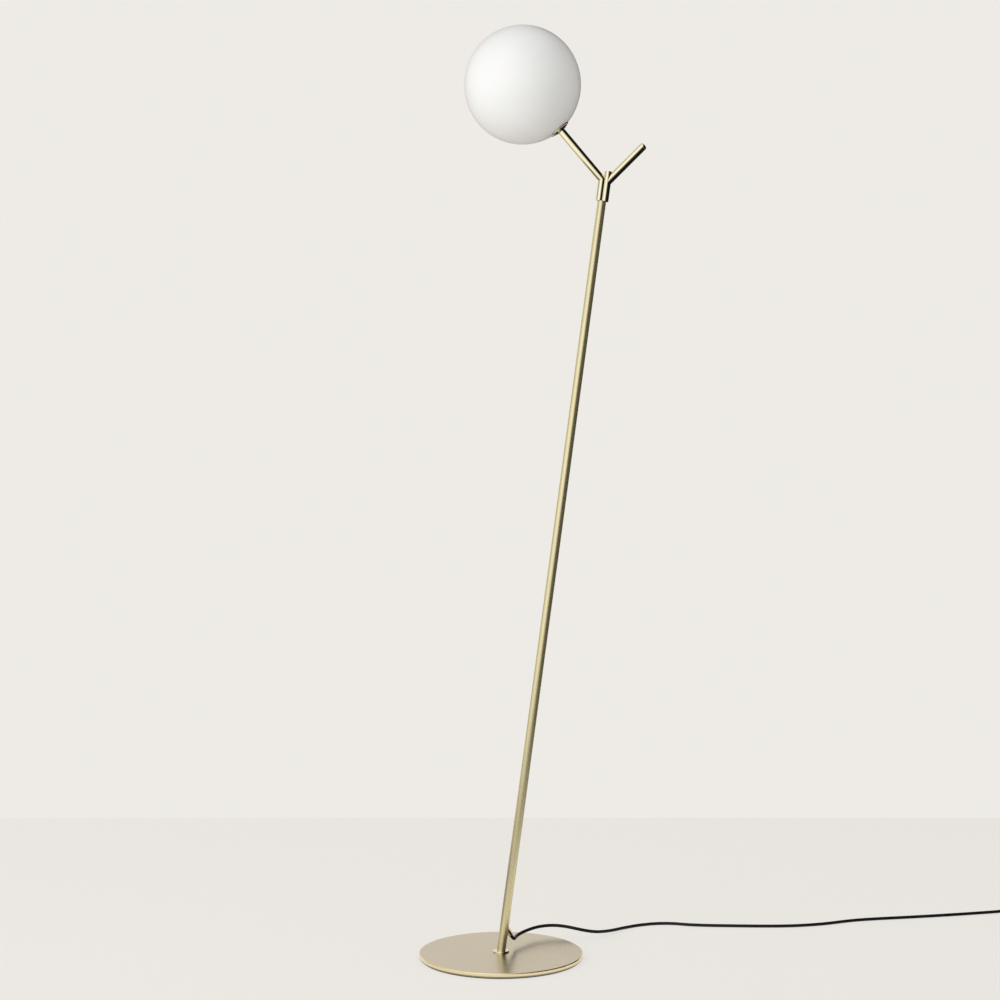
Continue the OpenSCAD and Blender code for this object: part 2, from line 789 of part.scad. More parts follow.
module globe_glass() {
    color(opal) on_arm() translate([0, 0, arm_reach]) difference() {
        union() {
            difference() {
                sphere(r = globe_r, $fn = 240);
                sphere(r = globe_r - glass_t, $fn = 240);
            }
            intersection() {
                sphere(r = globe_r, $fn = 240);
                translate([0, 0, -globe_r]) cylinder(d = neck_bore + 2 * neck_wall, h = glass_t + neck_len);
            }
        }
        translate([0, 0, -globe_r - cut]) cylinder(d = neck_bore, h = globe_r / 2);
    }
}

module bulb_base() {
    color(ceramic) on_arm() translate([0, 0, bulb_bottom]) cylinder(d = bulb_base_d, h = bulb_base_h);
}

module bulb_pins() {
    color(steel) on_arm() for (side = [-1, 1])
        translate([0, side * bulb_pin_pitch / 2, bulb_bottom - bulb_pin_len]) {
            translate([-bulb_pin_w / 2, -bulb_pin_t / 2, bulb_pin_w / 2])
                cube([bulb_pin_w, bulb_pin_t, bulb_pin_len - bulb_pin_w / 2]);
            translate([0, 0, bulb_pin_w / 2]) rotate([90, 0, 0])
                cylinder(d = bulb_pin_w, h = bulb_pin_t, center = true);
        }
}

module bulb_capsule() {
    color(opal) on_arm() translate([0, 0, capsule_bottom]) {
        cylinder(d = capsule_d, h = capsule_len - capsule_d / 2);
        translate([0, 0, capsule_len - capsule_d / 2]) intersection() {
            sphere(d = capsule_d);
            cylinder(d = capsule_d, h = capsule_d);
        }
    }
}

// ---- Mains lead on the floor ----

function unit(v) = v / norm(v);

// Points on an arc that starts at a point along +Z and bends towards -X
function opening_arc(start, r, turn) = [for (k = [1 : lead_arc_steps]) let(a = turn * k / lead_arc_steps)
    start + [-r * (1 - cos(a)), 0, r * sin(a)]];

// Points on the arc that brings a line which slants to -X back to +Z, ending at a point
function closing_arc(end, r, turn) = [for (k = [1 : lead_arc_steps])
    let(a = turn * (1 - k / lead_arc_steps)) end + [r * (1 - cos(a)), 0, -r * sin(a)]];

// A point of the row frame that lies on the outlet's axis
function on_outlet_axis(way) = let(
        turned = [sin(outlet_slope) * cos(outlet_turn), sin(outlet_slope) * sin(outlet_turn),
            -cos(outlet_slope)],
        p = [0, 0, outlet_s] + way * turned)
    [p[0] * cos(lean) + p[2] * sin(lean), p[1], base_top - p[0] * sin(lean) + p[2] * cos(lean)];

// Smooth curve through p1 and p2
function between(p0, p1, p2, p3, t) =
    (2 * p1 + (p2 - p0) * t + (2 * p0 - 5 * p1 + 4 * p2 - p3) * t * t
        + (3 * p1 - p0 - 3 * p2 + p3) * t * t * t) / 2;

// The route's points with smooth points between them, about one ring step apart
function smooth(route) = let(last = len(route) - 1) [
    for (i = [0 : last - 1]) let(
            steps = max(1, round(norm(route[i + 1] - route[i]) / ring_step)),
            before = route[max(i - 1, 0)],
            after = route[min(i + 2, last)])
        for (k = [0 : steps - 1]) between(before, route[i], route[i + 1], after, k / steps),
    route[last]];

// A closed tube along the points, which nowhere runs along the given direction
module swept(points, r, across) {
    last = len(points) - 1;
    rings = [for (i = [0 : last]) let(
            ahead = unit(points[min(i + 1, last)] - points[max(i - 1, 0)]),
            side = unit(cross(ahead, across)),
            up = cross(side, ahead))
        for (k = [0 : cord_sides - 1]) let(a = 360 * (k + 0.5) / cord_sides)
            points[i] + r * (cos(a) * side + sin(a) * up)];
    walls = [for (i = [0 : last - 1], k = [0 : cord_sides - 1]) let(
            a = i * cord_sides + k,
            b = i * cord_sides + (k + 1) % cord_sides)
        [a, b, b + cord_sides, a + cord_sides]];
    start = [for (k = [cord_sides - 1 : -1 : 0]) k];
    end = [for (k = [0 : cord_sides - 1]) last * cord_sides + k];
    polyhedron(rings, concat([start], walls, [end]), convexity = 10);
}

module cord_run() {
    entry = [switch_centre[0] - switch_mouth, switch_centre[1], switch_cord_z];
    points = concat([on_outlet_axis(lead_bend_start + loose), on_outlet_axis(relief_end)],
        cord_route, [entry - [loose, 0, 0]]);
    color(black_rubber) swept(smooth(points), cord_r, [0, 0, 1]);
}

// From the switch to the coil's first turn, the lowest and outermost
module cord_link() {
    start = [switch_centre[0] + switch_mouth + loose, switch_centre[1], switch_cord_z];
    end = [coil_centre[0], coil_centre[1] + outer_turn_r, first_turn_z];
    color(black_rubber) swept([start, (start + end) / 2, end], cord_r, [0, 0, 1]);
}

// From the coil's last turn, the highest and outermost, back to the plug
module cord_tail() {
    start = [coil_centre[0], coil_centre[1] - outer_turn_r, last_turn_z];
    end = [plug_face[0] + plug_len + plug_boot_len + loose, plug_face[1], plug_mid_z];
    color(black_rubber) swept([start, (start + end) / 2, end], cord_r, [0, 0, 1]);
}

module coil_section(grow) {
    w = coil_w + 2 * grow;
    h = coil_h + 2 * grow;
    r = cord_r + grow;
    translate([coil_d / 2 - w / 2, -grow]) {
        translate([r, 0]) square([w - 2 * r, h]);
        translate([0, r]) square([w, h - 2 * r]);
        for (x = [r, w - r], y = [r, h - r]) translate([x, y]) circle(r);
    }
}

module cord_coil() {
    color(black_rubber) translate([coil_centre[0], coil_centre[1], tie_t]) rotate_extrude() coil_section(0);
}

// A strap round the bundle of turns
module coil_tie() {
    turn = 2 * tie_w / coil_d * 180 / PI;
    color(black_rubber) translate([coil_centre[0], coil_centre[1], tie_t]) rotate([0, 0, -turn / 2])
        rotate_extrude(angle = turn) difference() {
            coil_section(tie_t);
            coil_section(0);
        }
}

// ---- Foot switch ----

// A profile carried round a plan with two straight sides and two round ends
module round_ended(straight) {
    for (side = [0, 1]) mirror([side, 0, 0]) translate([straight / 2, 0, 0])
        rotate([0, 0, -90]) rotate_extrude(angle = 180) children();
    rotate([90, 0, 90]) linear_extrude(straight, center = true) {
        children();
        mirror([1, 0]) children();
    }
}

// Half profile of a shell whose corner at its closed end is rounded
module shell_half(half_w, h, r) {
    square([half_w - r, h]);
    square([half_w, h - r]);
    translate([half_w - r, h - r]) intersection() {
        circle(r);
        square(r);
    }
}

module on_switch() {
    translate([switch_centre[0], switch_centre[1], 0]) children();
}

module switch_screw_spots() {
    for (x = [-1, 1], y = [-1, 1]) translate([x * switch_screw_x, y * switch_screw_y, 0]) children();
}

// Half a sleeve on each end, open along the lead
module switch_sleeves() {
    for (side = [0, 1]) mirror([side, 0, 0]) translate([switch_len / 2 - switch_wall, 0, 0])
        rotate([0, 90, 0]) cylinder(d1 = switch_sleeve_d, d2 = switch_sleeve_d - 1,
            h = switch_sleeve + switch_wall);
}

module switch_base() {
    straight = switch_len - switch_w;
    inside_w = switch_w / 2 - switch_wall;
    color(black_rubber) on_switch() difference() {
        union() {
            difference() {
                translate([0, 0, switch_base_h]) mirror([0, 0, 1]) round_ended(straight)
                    shell_half(switch_w / 2, switch_base_h, switch_base_edge_r);
                translate([0, 0, switch_wall]) round_ended(straight) square([inside_w, switch_base_h]);
            }
            intersection() {
                translate([0, 0, switch_base_h]) switch_sleeves();
                translate([-far, -far, 0]) cube([2 * far, 2 * far, switch_base_h]);
            }
            switch_screw_spots() cylinder(d = switch_boss_d, h = switch_base_h);
        }
        translate([0, 0, switch_base_h]) rotate([0, 90, 0])
            cylinder(d = cord_d + 2 * running, h = far, center = true);
        switch_screw_spots() {
            translate([0, 0, -cut]) cylinder(d = switch_screw_d + loose, h = switch_base_h + 2 * cut);
            translate([0, 0, -cut]) cylinder(d = switch_screw_head_d + loose, h = cut + switch_wall);
        }
    }
}

module switch_cover() {
    straight = switch_len - switch_w;
    cover_h = switch_h - switch_base_h;
    inside_w = switch_w / 2 - switch_wall;
    color(black_rubber) on_switch() difference() {
        union() {
            difference() {
                translate([0, 0, switch_base_h]) round_ended(straight)
                    shell_half(switch_w / 2, cover_h, switch_edge_r);
                translate([0, 0, switch_base_h - cut]) round_ended(straight)
                    shell_half(inside_w, cover_h - switch_wall + cut, switch_edge_r - 1);
            }
            intersection() {
                translate([0, 0, switch_base_h]) switch_sleeves();
                translate([-far, -far, switch_base_h]) cube(2 * far);
            }
            switch_screw_spots() translate([0, 0, switch_base_h])
                cylinder(d = switch_boss_d, h = cover_h - switch_wall / 2);
        }
        translate([0, 0, switch_base_h]) rotate([0, 90, 0])
            cylinder(d = cord_d + 2 * running, h = far, center = true);
        translate([0, 0, switch_base_h]) cylinder(d = button_d + 2 * loose, h = far);
        switch_screw_spots() translate([0, 0, switch_base_h - cut])
            cylinder(d = switch_screw_d + 2 * tight, h = cut + cover_h - switch_edge_r - 1);
    }
}

module switch_screws() {
    screw_top = switch_h - switch_edge_r - 2;
    color(steel) on_switch() switch_screw_spots() {
        translate([0, 0, 0.4]) cylinder(d = switch_screw_head_d, h = switch_wall - 0.4);
        translate([0, 0, switch_wall - cut]) cylinder(d = switch_screw_d, h = screw_top - switch_wall + cut);
    }
}

// The contact block under the button, with its spring inside
module switch_block() {
    color(ceramic) on_switch() translate([-block_len / 2, -block_w / 2, switch_wall])
        cube([block_len, block_w, block_top - switch_wall]);
}

// Round button with a flange that holds it under the cover
module switch_button() {
    flange_top = switch_h - switch_wall - running;
    color(steel) on_switch() {
        translate([0, 0, flange_top - button_flange])
            cylinder(d = button_d + 2 * loose + 2, h = button_flange);
        translate([0, 0, flange_top - button_flange])
            rounded_disc(button_d, button_z - flange_top + button_flange, 1.2);
    }
}

// ---- Plug ----

// Half of the body's size at a way from its face: straight at the pins, then a soft taper to the boot
function plug_half(at_face, at_tail, way) = let(
        t = max(0, (way - plug_shoulder) / (plug_len - plug_shoulder)))
    (at_face + (at_tail - at_face) * t * t * (3 - 2 * t)) / 2;

// The taper's outline, seen across the body
module plug_outline(at_face, at_tail) {
    ways = [for (i = [0 : plug_steps]) plug_shoulder + (plug_len - plug_shoulder) * i / plug_steps];
    polygon(concat([[0, -at_face / 2]], [for (x = ways) [x, -plug_half(at_face, at_tail, x)]],
        [for (i = [plug_steps : -1 : 0]) [ways[i], plug_half(at_face, at_tail, ways[i])]],
        [[0, at_face / 2]]));
}

// Six-sided at its face, as a flat two-pin plug is, with the boot moulded on
module plug_body() {
    side_tip = plug_w / 2 + plug_tip_proud;
    color(black_rubber) translate([plug_face[0], plug_face[1], plug_mid_z]) difference() {
        union() {
            intersection() {
                linear_extrude(plug_t, center = true) plug_outline(plug_w, plug_tail_w);
                rotate([90, 0, 0]) linear_extrude(2 * plug_w, center = true)
                    plug_outline(plug_t, plug_tail_t);
                rotate([90, 0, 90]) linear_extrude(plug_len) polygon([[-side_tip, 0],
                    [-plug_flat_w / 2, -plug_t / 2], [plug_flat_w / 2, -plug_t / 2], [side_tip, 0],
                    [plug_flat_w / 2, plug_t / 2], [-plug_flat_w / 2, plug_t / 2]]);
            }
            translate([plug_len, 0, 0]) rotate([0, 90, 0]) plug_boot();
        }
        for (side = [-1, 1]) translate([-cut, side * plug_pin_pitch / 2, 0]) rotate([0, 90, 0])
            cylinder(d = plug_shank_d + 2 * tight, h = plug_pin_root + cut);
    }
}

// Tapered sleeve with grooves round it, so that it bends with the lead
module plug_boot() {
    difference() {
        cylinder(d1 = plug_boot_d, d2 = plug_boot_tip_d, h = plug_boot_len);
        for (i = [1 : boot_grooves]) translate([0, 0, i * plug_boot_len / (boot_grooves + 1)]) {
            groove_d = plug_boot_d - 2 * boot_groove_depth
                + (plug_boot_tip_d - plug_boot_d) * i / (boot_grooves + 1);
            translate([0, 0, -boot_groove_w / 2]) tube(2 * plug_boot_d, groove_d, boot_groove_w);
        }
    }
}

// Each pin has a thin insulated shank and a bare tip with a round end
module plug_pins() {
    color(steel) for (side = [-1, 1])
        translate([plug_face[0] - plug_pin_len, plug_face[1] + side * plug_pin_pitch / 2, plug_mid_z])
            rotate([0, 90, 0]) {
                translate([0, 0, plug_pin_d / 2]) cylinder(d = plug_pin_d, h = plug_tip_len - plug_pin_d / 2);
                translate([0, 0, plug_tip_len])
                    cylinder(d = plug_shank_d, h = plug_pin_len - plug_tip_len + plug_pin_root);
                intersection() {
                    translate([0, 0, plug_pin_d / 2]) sphere(d = plug_pin_d);
                    cylinder(d = plug_pin_d, h = plug_pin_d / 2);
                }
            }
}

base_plate();
base_pad();
foot_ring();
foot_plug();
foot_washer();
foot_screw();
pole_tube();
cable_outlet();
strain_relief();
inner_lead();
swivel_bush();
swivel_washer();
head_block();
head_cap();
pivot_tube();
wave_washer();
retaining_ring();
stub_tube();
stub_cap();
arm_tube();
arm_insert();
arm_nipple();
globe_dish();
glass_carrier();
globe_gasket();
carrier_nut();
holder_bracket();
lampholder();
holder_screws();
arm_lead();
globe_glass();
bulb_base();
bulb_pins();
bulb_capsule();
cord_run();
switch_base();
switch_cover();
switch_screws();
switch_block();
switch_button();
cord_link();
cord_coil();
coil_tie();
cord_tail();
plug_body();
plug_pins();
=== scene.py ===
import math

import bmesh
import bpy
from mathutils import Matrix, Vector


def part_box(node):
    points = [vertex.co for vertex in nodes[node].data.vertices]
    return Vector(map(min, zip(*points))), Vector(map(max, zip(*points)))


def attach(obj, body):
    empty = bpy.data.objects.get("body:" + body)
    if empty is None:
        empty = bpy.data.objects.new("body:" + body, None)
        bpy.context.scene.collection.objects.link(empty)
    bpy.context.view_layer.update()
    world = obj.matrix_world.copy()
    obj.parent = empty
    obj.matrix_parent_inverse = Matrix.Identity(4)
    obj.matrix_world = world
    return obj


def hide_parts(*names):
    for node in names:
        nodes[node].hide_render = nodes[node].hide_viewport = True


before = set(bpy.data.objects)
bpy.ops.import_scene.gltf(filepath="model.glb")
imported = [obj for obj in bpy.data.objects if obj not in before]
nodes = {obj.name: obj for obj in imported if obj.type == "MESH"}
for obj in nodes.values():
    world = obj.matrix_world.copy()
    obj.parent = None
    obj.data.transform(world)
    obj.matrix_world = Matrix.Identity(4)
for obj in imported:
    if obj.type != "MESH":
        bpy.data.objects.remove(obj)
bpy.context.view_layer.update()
scene = bpy.context.scene


def linear(red, green, blue):
    steps = []
    for value in (red, green, blue):
        share = value / 255
        steps.append(share / 12.92 if share <= 0.04045 else ((share + 0.055) / 1.055) ** 2.4)
    return (*steps, 1.0)


# the view
view = {"place": (-0.0017, -3.010, 0.7824), "level": 90, "lens": 63.32, "sensor": 36.0}


def addCamera():
    data = bpy.data.cameras.new("view")
    data.sensor_fit = "HORIZONTAL"
    data.sensor_width = view["sensor"]
    data.lens = view["lens"]
    camera = bpy.data.objects.new("view", data)
    camera.location = view["place"]
    camera.rotation_euler = (math.radians(view["level"]), 0, 0)
    scene.collection.objects.link(camera)
    scene.camera = camera


print("camera")
addCamera()

# the lamp's own frames, in metres and degrees
layout = {"baseTop": 0.0095, "lean": 7.65, "poleLength": 1.296, "halfPitch": 0.0046, "armJoint": 0.0363,
          "armAngle": 47.65, "armReach": 0.2115, "stubJoint": 0.0327, "stubAngle": 37.35,
          "outletHeight": 0.0454, "outletTurn": 50, "outletSlope": 48}


def shift(x, y, z):
    return Matrix.Translation((x, y, z))


def turn(degrees, axis):
    return Matrix.Rotation(math.radians(degrees), 4, axis)


onPole = shift(0, 0, layout["baseTop"]) @ turn(layout["lean"], "Y")
onHead = onPole @ shift(0, 0, layout["poleLength"])
onRightBarrel = onHead @ shift(layout["halfPitch"], 0, 0)
onArm = onHead @ shift(-layout["halfPitch"], 0, layout["armJoint"]) @ turn(-layout["armAngle"], "Y")
onStub = onRightBarrel @ shift(0, 0, layout["stubJoint"]) @ turn(layout["stubAngle"], "Y")
onOutlet = (onPole @ shift(0, 0, layout["outletHeight"]) @ turn(layout["outletTurn"], "Z")
            @ turn(180 - layout["outletSlope"], "Y"))


# mesh helpers

def addObject(name, mesh):
    made = bpy.data.objects.new(name, mesh)
    scene.collection.objects.link(made)
    return made


def addWork(name, work):
    # a finished bmesh as an object
    mesh = bpy.data.meshes.new(name)
    work.to_mesh(mesh)
    work.free()
    return addObject(name, mesh)


def bake(made):
    # the modifiers' result becomes the plain mesh
    bpy.context.view_layer.update()
    result = made.evaluated_get(bpy.context.evaluated_depsgraph_get())
    mesh = bpy.data.meshes.new_from_object(result)
    made.modifiers.clear()
    made.data = mesh
    return made


def shade(made, sharpAngle=35):
    made.data.shade_smooth()
    made.data.set_sharp_from_angle(angle=math.radians(sharpAngle))
    weight = made.modifiers.new("weight", "WEIGHTED_NORMAL")
    weight.keep_sharp = True
    weight.weight = 80
    return bake(made)


# how a CAD node is welded, where it counts as flat, and from which angle its edges are eased
easing = {"weld": 2e-6, "flat": 0.4, "corner": 32}


def soften(node, name, width, segments=2):
    # a welded copy of a CAD node with its edges eased
    work = bmesh.new()
    work.from_mesh(nodes[node].data)
    bmesh.ops.remove_doubles(work, verts=work.verts, dist=easing["weld"])
    bmesh.ops.dissolve_limit(work, angle_limit=math.radians(easing["flat"]), verts=work.verts, edges=work.edges)
    made = addWork(name, work)
    mesh = made.data
    for extra in [a.name for a in mesh.attributes if a.name in ("custom_normal", "sharp_edge", "sharp_face")]:
        mesh.attributes.remove(mesh.attributes[extra])
    mesh.materials.clear()
    bevel = made.modifiers.new("edges", "BEVEL")
    bevel.width = width
    bevel.segments = segments
    bevel.limit_method = "ANGLE"
    bevel.angle_limit = math.radians(easing["corner"])
    bevel.use_clamp_overlap = True
    return shade(bake(made))


def roundedProfile(corners, steps=4, most=0.49):
    # corners are (radius, height, cut); each corner is eased by its cut with a short curve
    line = []
    for i, (r, z, cut) in enumerate(corners):
        here = Vector((r, z))
        if cut <= 0:
            line.append(here)
            continue
        back = Vector(corners[i - 1][:2]) - here
        ahead = Vector(corners[(i + 1) % len(corners)][:2]) - here
        a, b = (here + way.normalized() * min(cut, way.length * most) for way in (back, ahead))
        for k in range(steps + 1):
            t = k / steps
            line.append(a * (1 - t) ** 2 + here * 2 * t * (1 - t) + b * t ** 2)
    return line


def spoke(k, sides):
    angle = 2 * math.pi * k / sides
    return math.cos(angle), math.sin(angle)


def lathe(name, line, place, sides, closed=True, onAxis=1e-7):
    # spins a profile about the z axis of place; a point on the axis makes a pole
    work = bmesh.new()
    rings = []
    for reach, height in line:
        count = sides if reach > onAxis else 1
        rings.append([work.verts.new(place @ Vector((reach * x, reach * y, height)))
                      for x, y in (spoke(k, sides) for k in range(count))])
    pairs = list(zip(rings, rings[1:]))
    if closed:
        pairs.append((rings[-1], rings[0]))
    for low, high in pairs:
        for k in range(sides):
            n = (k + 1) % sides
            if len(low) == 1:
                work.faces.new((low[0], high[n], high[k]))
            elif len(high) == 1:
                work.faces.new((low[k], low[n], high[0]))
            else:
                work.faces.new((low[k], low[n], high[n], high[k]))
    bmesh.ops.recalc_face_normals(work, faces=work.faces)
    return addWork(name, work)


# the lead: its way, its coil and its mesh; starts are its places in the outlet, fromSwitch its way down to the floor
cord = {"radius": 0.0028, "length": 2.23, "sides": 16, "sharp": 50, "rows": 0.004,
        "starts": (0.00742, 0.0145, 0.025, 0.0292), "inSwitch": 0.02,
        "fromSwitch": ((0.009, 0.0084), (0.018, 0.0063), (0.027, 0.0045), (0.036, 0.0038), (0.045, 0.0036)),
        "turns": 4.5, "turnSteps": 72, "low": 0.0036, "high": 0.0092, "halfTurn": 0.5,
        "inward": (0.5, 1.5), "upward": (2.0,), "outward": (2.5, 3.5),
        "tailBack": 0.012, "tailDrop": 0.0004, "plugFrom": 0.009, "plugRise": 0.0006, "plugIn": 0.004}

cordWay = [(0.0195, 0.0207, 0.0292), (0.0214, 0.0256, 0.0261), (0.0229, 0.0312, 0.0242), (0.024, 0.0374, 0.0234),
           (0.0252, 0.044, 0.0234), (0.0284, 0.0546, 0.0239), (0.0342, 0.0654, 0.0248), (0.0406, 0.0765, 0.0252),
           (0.0479, 0.0885, 0.0252), (0.0572, 0.101, 0.0253), (0.068, 0.1113, 0.0254), (0.082, 0.1187, 0.0254),
           (0.098, 0.1213, 0.025), (0.115, 0.1199, 0.0235), (0.132, 0.118, 0.0205), (0.150, 0.1198, 0.0164),
           (0.168, 0.1282, 0.0122), (0.186, 0.1458, 0.0085), (0.204, 0.168, 0.0056), (0.224, 0.1913, 0.0038),
           (0.252, 0.2135, 0.003), (0.284, 0.226, 0.003), (0.315, 0.227, 0.003), (0.350, 0.217, 0.003),
           (0.402, 0.211, 0.003), (0.512, 0.208, 0.003), (0.585, 0.222, 0.003), (0.665, 0.255, 0.003),
           (0.774, 0.279, 0.003), (0.844, 0.295, 0.003), (0.905, 0.311, 0.003), (0.945, 0.319, 0.004),
           (0.965, 0.321, 0.0065)]


def curveThrough(points, step):
    # a smooth line through the points, with a point about every step
    last = len(points) - 1
    line = []
    for i in range(last):
        p0 = points[i - 1] if i else points[0] * 2 - points[1]
        p1, p2 = points[i], points[i + 1]
        p3 = points[i + 2] if i + 2 <= last else points[last] * 2 - points[last - 1]
        count = max(1, round((p2 - p1).length / step))
        for k in range(count):
            t = k / count
            line.append(0.5 * (2 * p1 + (p2 - p0) * t + (2 * p0 - 5 * p1 + 4 * p2 - p3) * t ** 2
                               + (3 * p1 - p0 - 3 * p2 + p3) * t ** 3))
    line.append(points[-1].copy())
    return line


def ease(value, start, end):
    share = min(1, max(0, (value - start) / (end - start)))
    return share * share * (3 - 2 * share)


def shifted(turns, way):
    # how many shifts of this kind the coil has made; each takes half a turn
    return sum(ease(turns, start, start + cord["halfTurn"]) for start in cord[way])


def coilLine(centre, outer):
    # in along the floor, up at the innermost turn, and out again on top
    line = []
    steps = round(cord["turns"] * cord["turnSteps"])
    pitch = 2 * cord["radius"]
    for k in range(steps + 1):
        turns = cord["turns"] * k / steps
        radius = outer - pitch * shifted(turns, "inward") + pitch * shifted(turns, "outward")
        height = cord["low"] + (cord["high"] - cord["low"]) * shifted(turns, "upward")
        angle = math.radians(90 - 360 * turns)
        line.append(Vector((centre[0] + radius * math.cos(angle), centre[1] + radius * math.sin(angle), height)))
    return line


def cordLine():
    start = [onOutlet @ Vector((0, 0, way)) for way in cord["starts"]]
    coilLow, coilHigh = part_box("cord_coil")
    switchLow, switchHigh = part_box("switch_base")
    plugLow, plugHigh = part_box("plug_body")
    centre = (coilLow + coilHigh) / 2
    plug = (plugLow + plugHigh) / 2
    switchY, z = (switchLow.y + switchHigh.y) / 2, switchHigh.z
    run = start + [Vector(point) for point in cordWay]
    run += [Vector((x, switchY, z))
            for x in (switchLow.x, switchLow.x + cord["inSwitch"], switchHigh.x - cord["inSwitch"])]
    run += [Vector((switchHigh.x + step, switchY, height)) for step, height in ((0.0, z), *cord["fromSwitch"])]
    coil = coilLine(centre, coilHigh.x - centre.x - cord["radius"])
    run.append(coil[0])
    tail = [coil[-1], Vector((centre.x - cord["tailBack"], plug.y, cord["high"] - cord["tailDrop"])),
            Vector((plugHigh.x + cord["plugFrom"], plug.y, plug.z + cord["plugRise"])),
            Vector((plugHigh.x - cord["plugIn"], plug.y, plug.z))]
    line = curveThrough(run, cord["rows"])[:-1] + coil[:-1] + curveThrough(tail, cord["rows"])
    return line, start[-1]


def tube(name, line, radius, sides):
    # a round tube along the line, with its length and girth as its UV map
    work = bmesh.new()
    layer = work.loops.layers.uv.new("along")
    rows, lengths = [], []
    side = None
    travelled = 0
    for i, point in enumerate(line):
        ahead = (line[min(i + 1, len(line) - 1)] - line[max(i - 1, 0)]).normalized()
        if side is None:
            side = ahead.cross(Vector((0, 0, 1))).normalized()
        side = (side - ahead * side.dot(ahead)).normalized()
        up = ahead.cross(side)
        if i:
            travelled += (point - line[i - 1]).length
        lengths.append(travelled)
        rows.append([work.verts.new(point + radius * (side * x + up * y))
                     for x, y in (spoke(k, sides) for k in range(sides))])
    for i in range(len(rows) - 1):
        for k in range(sides):
            n = (k + 1) % sides
            face = work.faces.new((rows[i][k], rows[i][n], rows[i + 1][n], rows[i + 1][k]))
            for loop, (u, v) in zip(face.loops, ((k, i), (k + 1, i), (k + 1, i + 1), (k, i + 1))):
                loop[layer].uv = (u / sides * 2 * math.pi * radius, lengths[v])
    work.faces.new(list(reversed(rows[0])))
    work.faces.new(rows[-1])
    bmesh.ops.recalc_face_normals(work, faces=work.faces)
    made = addWork(name, work)
    made.data.shade_smooth()
    made.data.set_sharp_from_angle(angle=math.radians(cord["sharp"]))
    return made, travelled


print("lead")
leadLine, leadExit = cordLine()
mainsLead, leadLength = tube("mainsLead", leadLine, cord["radius"], cord["sides"])
print(f"lead is {leadLength:.3f} m long")


# node helpers

def put(tree, kind, sockets=None, **settings):
    # adds a node and returns its outputs; a socket takes a value, another node's output, or a list of outputs
    made = tree.nodes.new(kind)
    for key, value in settings.items():
        setattr(made, key, value)
    for key, value in (sockets or {}).items():
        for one in value if isinstance(value, list) else [value]:
            if isinstance(one, bpy.types.NodeSocket):
                tree.links.new(one, made.inputs[key])
            else:
                made.inputs[key].default_value = one
    return made.outputs


def newTree(name, kind, inputs, outputs, outputType):
    # an input is a name with its usual value, or with its socket type
    tree = bpy.data.node_groups.new(name, kind)
    numbers = {int: "NodeSocketInt", float: "NodeSocketFloat"}
    for label, value in inputs.items():
        socket = tree.interface.new_socket(label, in_out="INPUT", socket_type=numbers.get(type(value), value))
        if type(value) in numbers:
            socket.default_value = value
    for label in outputs:
        tree.interface.new_socket(label, in_out="OUTPUT", socket_type=outputType)
    return tree, tree.nodes.new("NodeGroupInput").outputs


def calc(tree, operation, a, b=0.0):
    return put(tree, "ShaderNodeMath", {0: a, 1: b}, operation=operation)[0]


def times(tree, a, b):
    return calc(tree, "MULTIPLY", a, b)


def vector(tree, x=0.0, y=0.0, z=0.0):
    return put(tree, "ShaderNodeCombineXYZ", {0: x, 1: y, 2: z})[0]


# node trees for what repeats: screws, threads, rings and grips

def shapeTree(name, inputs):
    return newTree(name, "GeometryNodeTree", {**inputs, "Finish": "NodeSocketMaterial"}, ["Geometry"],
                   "NodeSocketGeometry")


def endTree(tree, given, shape, smoothAngle=60):
    # realised, given its finish and shaded smooth up to the angle
    real = put(tree, "GeometryNodeRealizeInstances", {0: shape})
    edge = put(tree, "GeometryNodeInputMeshEdgeAngle")
    soft = put(tree, "FunctionNodeCompare", {0: edge["Unsigned Angle"], 1: math.radians(smoothAngle)},
               operation="LESS_THAN")
    faces = put(tree, "GeometryNodeSetShadeSmooth", {"Geometry": real[0]}, domain="FACE")
    edges = put(tree, "GeometryNodeSetShadeSmooth", {"Geometry": faces[0], "Shade Smooth": soft[0]}, domain="EDGE")
    dressed = put(tree, "GeometryNodeSetMaterial", {"Geometry": edges[0], "Material": given["Finish"]})
    put(tree, "NodeGroupOutput", {0: dressed[0]})
    return tree


def moved(tree, shape, height):
    return put(tree, "GeometryNodeTransform", {"Geometry": shape, "Translation": vector(tree, z=height)})[0]


def combined(tree, operation, others, first=None):
    sockets = {"Mesh 2": others} if first is None else {"Mesh 1": first, "Mesh 2": others}
    return put(tree, "GeometryNodeMeshBoolean", sockets, operation=operation, solver="EXACT")[0]


def spiral(tree, steps, radius, height, pitch):
    return put(tree, "GeometryNodeCurveSpiral",
               {"Resolution": steps, "Rotations": calc(tree, "DIVIDE", height, pitch), "Height": height,
                "Start Radius": radius, "End Radius": radius})[0]


def circle(tree, corners, radius):
    return put(tree, "GeometryNodeCurvePrimitiveCircle", {"Resolution": corners, "Radius": radius})[0]


def wire(tree, way, corners, radius, caps=True):
    return put(tree, "GeometryNodeCurveToMesh",
               {"Curve": way, "Profile Curve": circle(tree, corners, radius), "Fill Caps": caps})[0]


def repeated(tree, spots, shape, scale=1.0):
    return put(tree, "GeometryNodeInstanceOnPoints",
               {"Points": spots, "Instance": shape, "Scale": vector(tree, scale, scale, scale)})[0]


# shares of a screw's sizes that stay the same for every screw, and its thread's ridge
screw = {"crown": 0.62, "top": 0.72, "slot": 1.25, "threaded": 0.9, "sunk": -1.05, "ridge": 0.00012,
         "headSides": 40, "shankSides": 24, "threadSteps": 20, "ridgeSides": 4, "smooth": 40}


